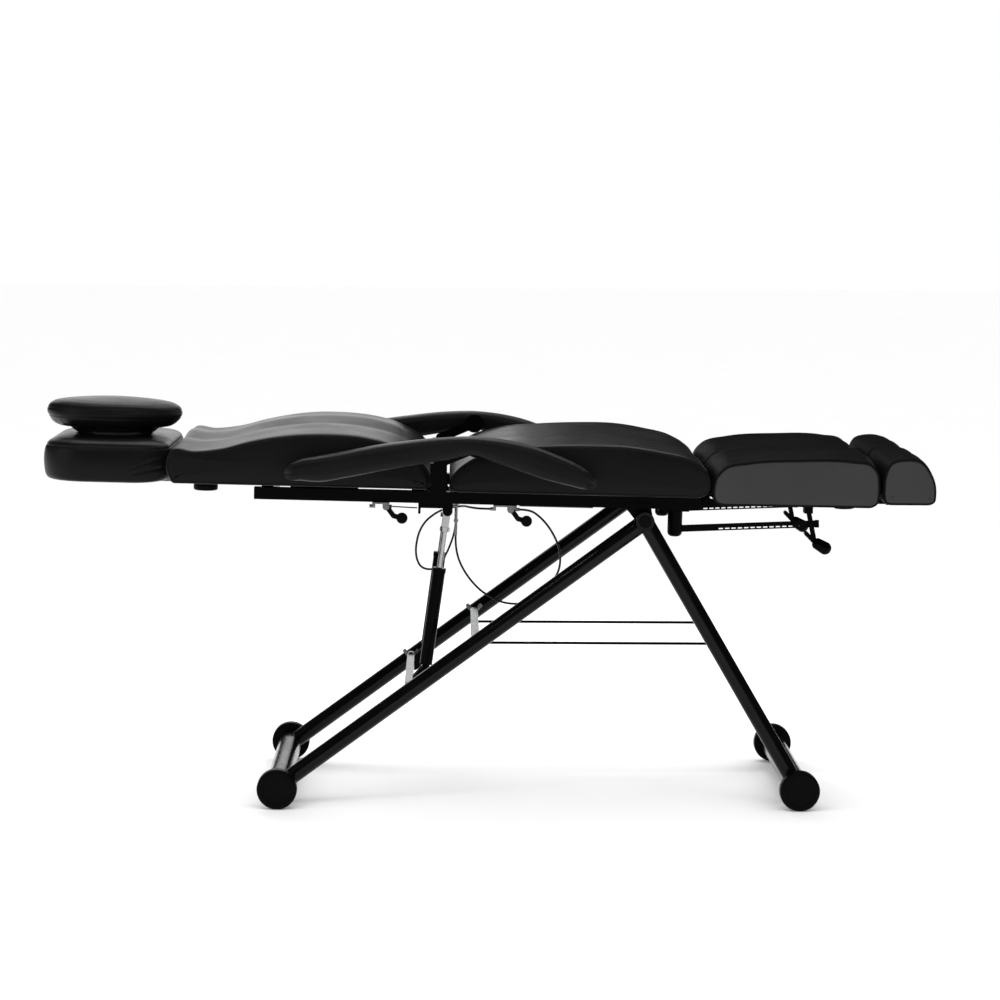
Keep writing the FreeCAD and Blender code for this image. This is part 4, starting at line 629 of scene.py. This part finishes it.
def head_block():
    """Ring-shaped cushion: round its plan, and from the underside up the side, over the top and down the hole."""
    n = 260
    ring = plan_ring(n)
    out = -outward(ring)
    hub = ring - np.array([PILLOW_U, 0.0])
    angle = np.arctan2(hub[:, 1], hub[:, 0])
    path = np.asarray(SIDE_PATH, float)
    run = run_lengths(path)
    at = np.sort(np.concatenate([np.linspace(0, run[-1], SIDE_ROWS), run[list(CREASE_ROWS)]]))
    layers, levels = [], []
    for inset, w in spline(at, run, path):
        layers.append(ring - out * inset)
        levels.append(w)
    rim = layers[-1]
    for share in np.linspace(0, 1, 14)[1:]:
        edge = np.stack([PILLOW_U + HOLE_U * np.cos(angle), HOLE_Y * np.sin(angle)], axis=1)
        layers.append(rim + (edge - rim) * share)
        levels.append(BLOCK_TOP + 0.5 * math.sin(math.pi * share) - 1.0 * share ** 4)
    for drop, grow in ((2.5, -2.0), (6, -4.0), (12, -5.2), (30, -5.6), (60, -5.6), (82, -5.2)):
        u, y = (HOLE_U + grow) * np.cos(angle), (HOLE_Y + grow) * np.sin(angle)
        layers.append(np.stack([PILLOW_U + u, y], axis=1))
        levels.append(BLOCK_TOP - 1 - drop)
    base = layers[0]
    hole = layers[-1]
    for share in (0.35, 0.7):
        layers.append(hole + (base - hole) * share)
        levels.append(BLOCK_UNDER)
    flat = np.stack(layers)
    level = np.repeat(np.asarray(levels)[:, None], n, axis=1)
    g = np.concatenate([flat, level[..., None]], axis=-1)
    u, y, w = g[..., 0], g[..., 1], g[..., 2]
    # Creases at the two corners by the back, a seam beside them and a little unevenness, on the walls alone
    wall = np.clip((w - 50) / 8, 0, 1) * np.clip((118 - w) / 8, 0, 1)
    turning = np.clip((u + 1046) / 10, 0, 1) * np.clip((-978 - u) / 12, 0, 1)
    corner = turning * np.clip((np.abs(y) - 120) / 20, 0, 1) * wall
    tilt = 0.22 * (u + 1012)
    folds = (np.exp(-((w - 80 - tilt) / 2.2) ** 2) + 0.9 * np.exp(-((w - 92 - 1.2 * tilt) / 2.4) ** 2)
             - 1.0 * np.exp(-((w - 86 - 1.1 * tilt) / 2.6) ** 2)
             - 0.7 * np.exp(-((w - 73 - 0.8 * tilt) / 3) ** 2))
    push = 3.0 * folds * corner
    groove = -1.5 * np.exp(-((u + 1045) / 1.1) ** 2) * wall * np.clip((np.abs(y) - 190) / 5, 0, 1)
    soft = 0.9 * ripple(u / 55 + w / 60, y / 55, 21) * wall
    away = np.repeat(out[None], g.shape[0], axis=0)
    # The underside rises towards the back, clear of the slide bars
    g[..., 2] += 4.5 * np.clip((u + 1045) / 70, 0, 1) ** 1.5 * np.clip((90 - w) / 43, 0, 1)
    g[..., 0] += away[..., 0] * (push + groove + soft)
    g[..., 1] += away[..., 1] * (push + groove + soft)
    return g


def seam_path(grid, row, rise=0.0):
    """Path and normals of the stitches along a row that runs round the piece; rise turns the normals upward."""
    p = np.vstack([grid[row], grid[row][:1]])
    n = p - p.mean(axis=0)
    n[:, 2] = 0
    n /= np.linalg.norm(n, axis=1)[:, None]
    n[:, 2] += rise
    return p, n / np.linalg.norm(n, axis=1)[:, None]


block = head_block()
block_cover = make("head_cover", [in_bed(block)], "head_rest", looks["black_vinyl"], along=True)
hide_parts("head_block")
above = int(np.argmin(np.abs(block[:SIDE_ROWS + len(CREASE_ROWS), 0, 2] - 120.6)))
p, n = seam_path(block, above, 0.8)
stitches("head_cover_stitches", [(in_bed(p), n)], "head_rest")

# Side of the pillow from its plug up: half lengths of the oval along the bed and across, and height
PILLOW_ROWS = 120
PILLOW = [(60.0, 48.0, 104.0), (67.0, 55.0, 112.0), (71.5, 59.5, 120.0), (74.2, 62.2, 127.0), (75.4, 63.4, 132.5),
          (79.5, 67.0, 136.0), (84.5, 71.5, 139.0), (89.5, 75.5, 143.8), (95.0, 79.5, 147.8), (103.0, 86.0, 148.8),
          (113.0, 94.0, 149.2), (122.0, 101.5, 152.0), (130.0, 107.5, 158.0), (136.5, 112.5, 166.0),
          (140.3, 115.3, 172.5), (141.5, 116.2, 179.0), (140.5, 115.2, 186.0), (136.0, 111.5, 193.0),
          (126.0, 102.5, 199.5), (108.0, 87.0, 203.8), (80.0, 64.0, 206.2), (48.0, 38.0, 207.3),
          (18.0, 14.0, 207.6)]


def pillow():
    """Oval cushion: round the oval, and from the plug in the hole up the neck and over the rim to the top."""
    n = 200
    path = np.asarray(PILLOW, float)
    run = run_lengths(path)
    rows = spline(np.linspace(0, run[-1], PILLOW_ROWS), run, path)
    angle = np.linspace(0, 2 * np.pi, n + 1)[:-1]
    a, b, w = rows[:, 0:1], rows[:, 1:2], np.repeat(rows[:, 2:3], n, axis=1)
    c, s = np.cos(angle)[None], np.sin(angle)[None]
    # Two seams, creases over the rim, and gathers where the rim leaves the neck
    seam = (1.7 * np.exp(-((w - 171) / 1.3) ** 2) + 1.2 * np.exp(-((w - 186) / 1.2) ** 2)) * (w > 150)
    creases = 0.7 * ripple(2.4 * angle[None] + w / 26, w / 9, 31, 9, 0.8, 2.4) * np.clip((w - 150) / 12, 0, 1)
    gathers = 0.9 * np.sin(22 * angle[None] + 1.7 * np.sin(5 * angle[None])) * np.exp(-((w - 150) / 10) ** 2)
    r = -seam + creases + gathers
    x, y = (a + r) * c, (b + r) * s
    # The rim gets thinner towards the back
    taper = np.clip(x / 141.5, 0, 1) ** 1.5
    rim = np.clip((w - 141) / 12, 0, 1)
    w = w + taper * rim * (2.0 * np.clip((172 - w) / 16, 0, 1) - 3.5 * np.clip((w - 172) / 16, 0, 1))
    w = w + 0.5 * ripple(x / 40, y / 40, 33) * np.clip((w - 185) / 12, 0, 1)
    return np.stack([PILLOW_U + x, y, w], axis=-1)


cushion = pillow()
ends = (in_bed((PILLOW_U, 0, 104.0)), in_bed((PILLOW_U, 0, 207.8)))
pillow_cover = make("pillow_cover", [in_bed(cushion)], "head_pillow", looks["black_vinyl"],
                    poles=[ends])
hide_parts("head_pillow")
upper = PILLOW_ROWS // 2
lines = []
for height in (168.4, 189.0):
    row = upper + int(np.argmin(np.abs(cushion[upper:, 0, 2] - height)))
    p, n = seam_path(cushion, row)
    lines.append((in_bed(p), n))
stitches("pillow_cover_stitches", lines, "head_pillow")

# Arch of an arm pad along the bed: u and w of its middle line, and its half width and half height there
ARM_Y = -337.0
ARM = [(-726.5, 89.5, 12.0, 7.0), (-718.0, 91.2, 21.5, 14.0), (-697.0, 96.5, 27.0, 20.5),
       (-658.0, 100.5, 28.6, 25.5), (-610.0, 110.0, 28.6, 26.0), (-495.0, 133.0, 28.6, 25.2),
       (-410.0, 146.5, 28.6, 22.2), (-345.0, 153.5, 28.6, 18.2), (-305.0, 145.5, 28.6, 23.6),
       (-262.0, 134.5, 28.6, 27.0), (-205.0, 117.5, 28.6, 27.0), (-150.0, 99.5, 27.0, 22.0),
       (-128.0, 90.8, 25.0, 18.2), (-114.0, 85.3, 20.5, 12.5), (-107.0, 82.6, 12.5, 7.0)]


def arm_cover():
    """Arched pad: round its section, a soft-cornered oval, and along its arch between two gathered ends."""
    n = 96
    path = np.asarray(ARM, float)
    run = run_lengths(path[:, :2])
    at = run[-1] * (1 - np.cos(np.linspace(0, np.pi, 200))) / 2
    rows = spline(at, run, path)
    way = np.gradient(rows[:, :2], axis=0)
    way /= np.linalg.norm(way, axis=1)[:, None]
    up = np.stack([-way[:, 1], way[:, 0]], axis=1)
    angle = np.linspace(0, 2 * np.pi, n + 1)[:-1]
    c, s = np.cos(angle)[None], np.sin(angle)[None]
    power = 2 / 3.4
    a = np.sign(c) * np.abs(c) ** power
    b = np.sign(s) * np.abs(s) ** power
    # Pleats at the gathered ends, a little unevenness and one seam along the pad
    left = at[:, None]
    end = np.minimum(left, run[-1] - left)
    pleat = 1.2 * np.cos(17 * angle[None] + 0.8 * np.sin(3 * angle[None])) * np.exp(-((end - 8) / 9) ** 2)
    soft = 0.45 * ripple(left / 38, 2.0 * angle[None], 41, 8)
    off = (angle[None] - 5.35) * 26
    seam = (1.1 * np.exp(-(off / 1.2) ** 2) - 0.9 * np.exp(-((off - 3.2) / 1.4) ** 2)) * np.clip(end / 15, 0, 1)
    y = ARM_Y + (rows[:, 2:3] + pleat + soft + seam) * a
    lift = (rows[:, 3:4] + pleat + soft + seam) * b
    u = rows[:, 0:1] + up[:, 0:1] * lift
    w = rows[:, 1:2] + up[:, 1:2] * lift
    return np.stack([u, y, w], axis=-1)


arm = arm_cover()
tips = np.array([(-727.8, ARM_Y, 89.2), (-105.8, ARM_Y, 82.2)])
for side, g, ends in (("near", arm, tips), ("far", (arm * MIRROR)[:, ::-1], tips * MIRROR)):
    cover = make("arm_cover_" + side, [in_bed(g)], "arm_" + side, arm_look, poles=[in_bed(ends)])
    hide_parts("arm_pad_" + side)


# Floor and light
floor_look, t = new_material("floor_look")
at = t("ShaderNodeTexCoord").outputs["Object"]
dust = t("ShaderNodeTexNoise", None, Vector=at, Scale=3.0, Detail=3.0)
body = t("ShaderNodeBsdfPrincipled", None,
         Base_Color=tone(t, dust.outputs[0], (0.93, 0.93, 0.93), (0.96, 0.96, 0.96)))
body.inputs["Roughness"].default_value = 0.8
body.inputs["Specular IOR Level"].default_value = 0.2
close(t, body)
mesh = bpy.data.meshes.new("floor")
FAR = 30
mesh.from_pydata([(-FAR, -FAR, 0), (FAR, -FAR, 0), (FAR, FAR, 0), (-FAR, FAR, 0)], [], [(0, 1, 2, 3)])
floor = bpy.data.objects.new("floor", mesh)
mesh.materials.append(floor_look)
bpy.context.scene.collection.objects.link(floor)

# White surroundings, a little stronger than the camera sees them, and nearly dark in reflections
world = bpy.data.worlds.new("world")
bpy.context.scene.world = world
world.use_nodes = True
w = Tree(world)
rays = w("ShaderNodeLightPath")
bright = w("ShaderNodeMapRange", None, Value=rays.outputs["Is Camera Ray"], To_Min=1.12, To_Max=1.0)
glossy = w("ShaderNodeMapRange", None, Value=rays.outputs["Is Glossy Ray"], To_Min=1.0, To_Max=0.03)
strength = w("ShaderNodeMath", {"operation": "MULTIPLY"}, _0=bright.outputs[0], _1=glossy.outputs[0])
sky = w("ShaderNodeBackground", None, Color=(1.0, 1.0, 1.0, 1.0), Strength=strength.outputs[0])
w.put(w("ShaderNodeOutputWorld").inputs["Surface"], sky.outputs[0])


def lamp(name, place, aim, size, power):
    """Soft rectangular light at place, facing aim."""
    data = bpy.data.lights.new(name, "AREA")
    data.shape = "RECTANGLE"
    data.size, data.size_y = size
    data.energy = power
    made = bpy.data.objects.new(name, data)
    made.location = place
    made.rotation_euler = (Vector(aim) - Vector(place)).to_track_quat("-Z", "Y").to_euler()
    made.visible_camera = False
    bpy.context.scene.collection.objects.link(made)


lamp("top_light", (-0.1, 1.3, 2.6), (-0.1, 0.0, 0.7), (2.6, 1.6), 34.0)
lamp("strip_light", (-0.1, -1.7, 2.7), (-0.1, 0.0, 0.6), (3.4, 0.07), 26.0)
lamp("back_light", (-0.925, 2.6, 1.35), (-0.65, 0.0, 0.8), (2.0, 1.7), 16.0)
lamp("right_light", (2.1, 2.6, 1.4), (0.3, 0.0, 0.7), (0.8, 1.0), 3.5)
lamp("left_light", (-3.2, -1.2, 1.5), (-0.4, 0.0, 0.7), (1.6, 1.6), 13.0)
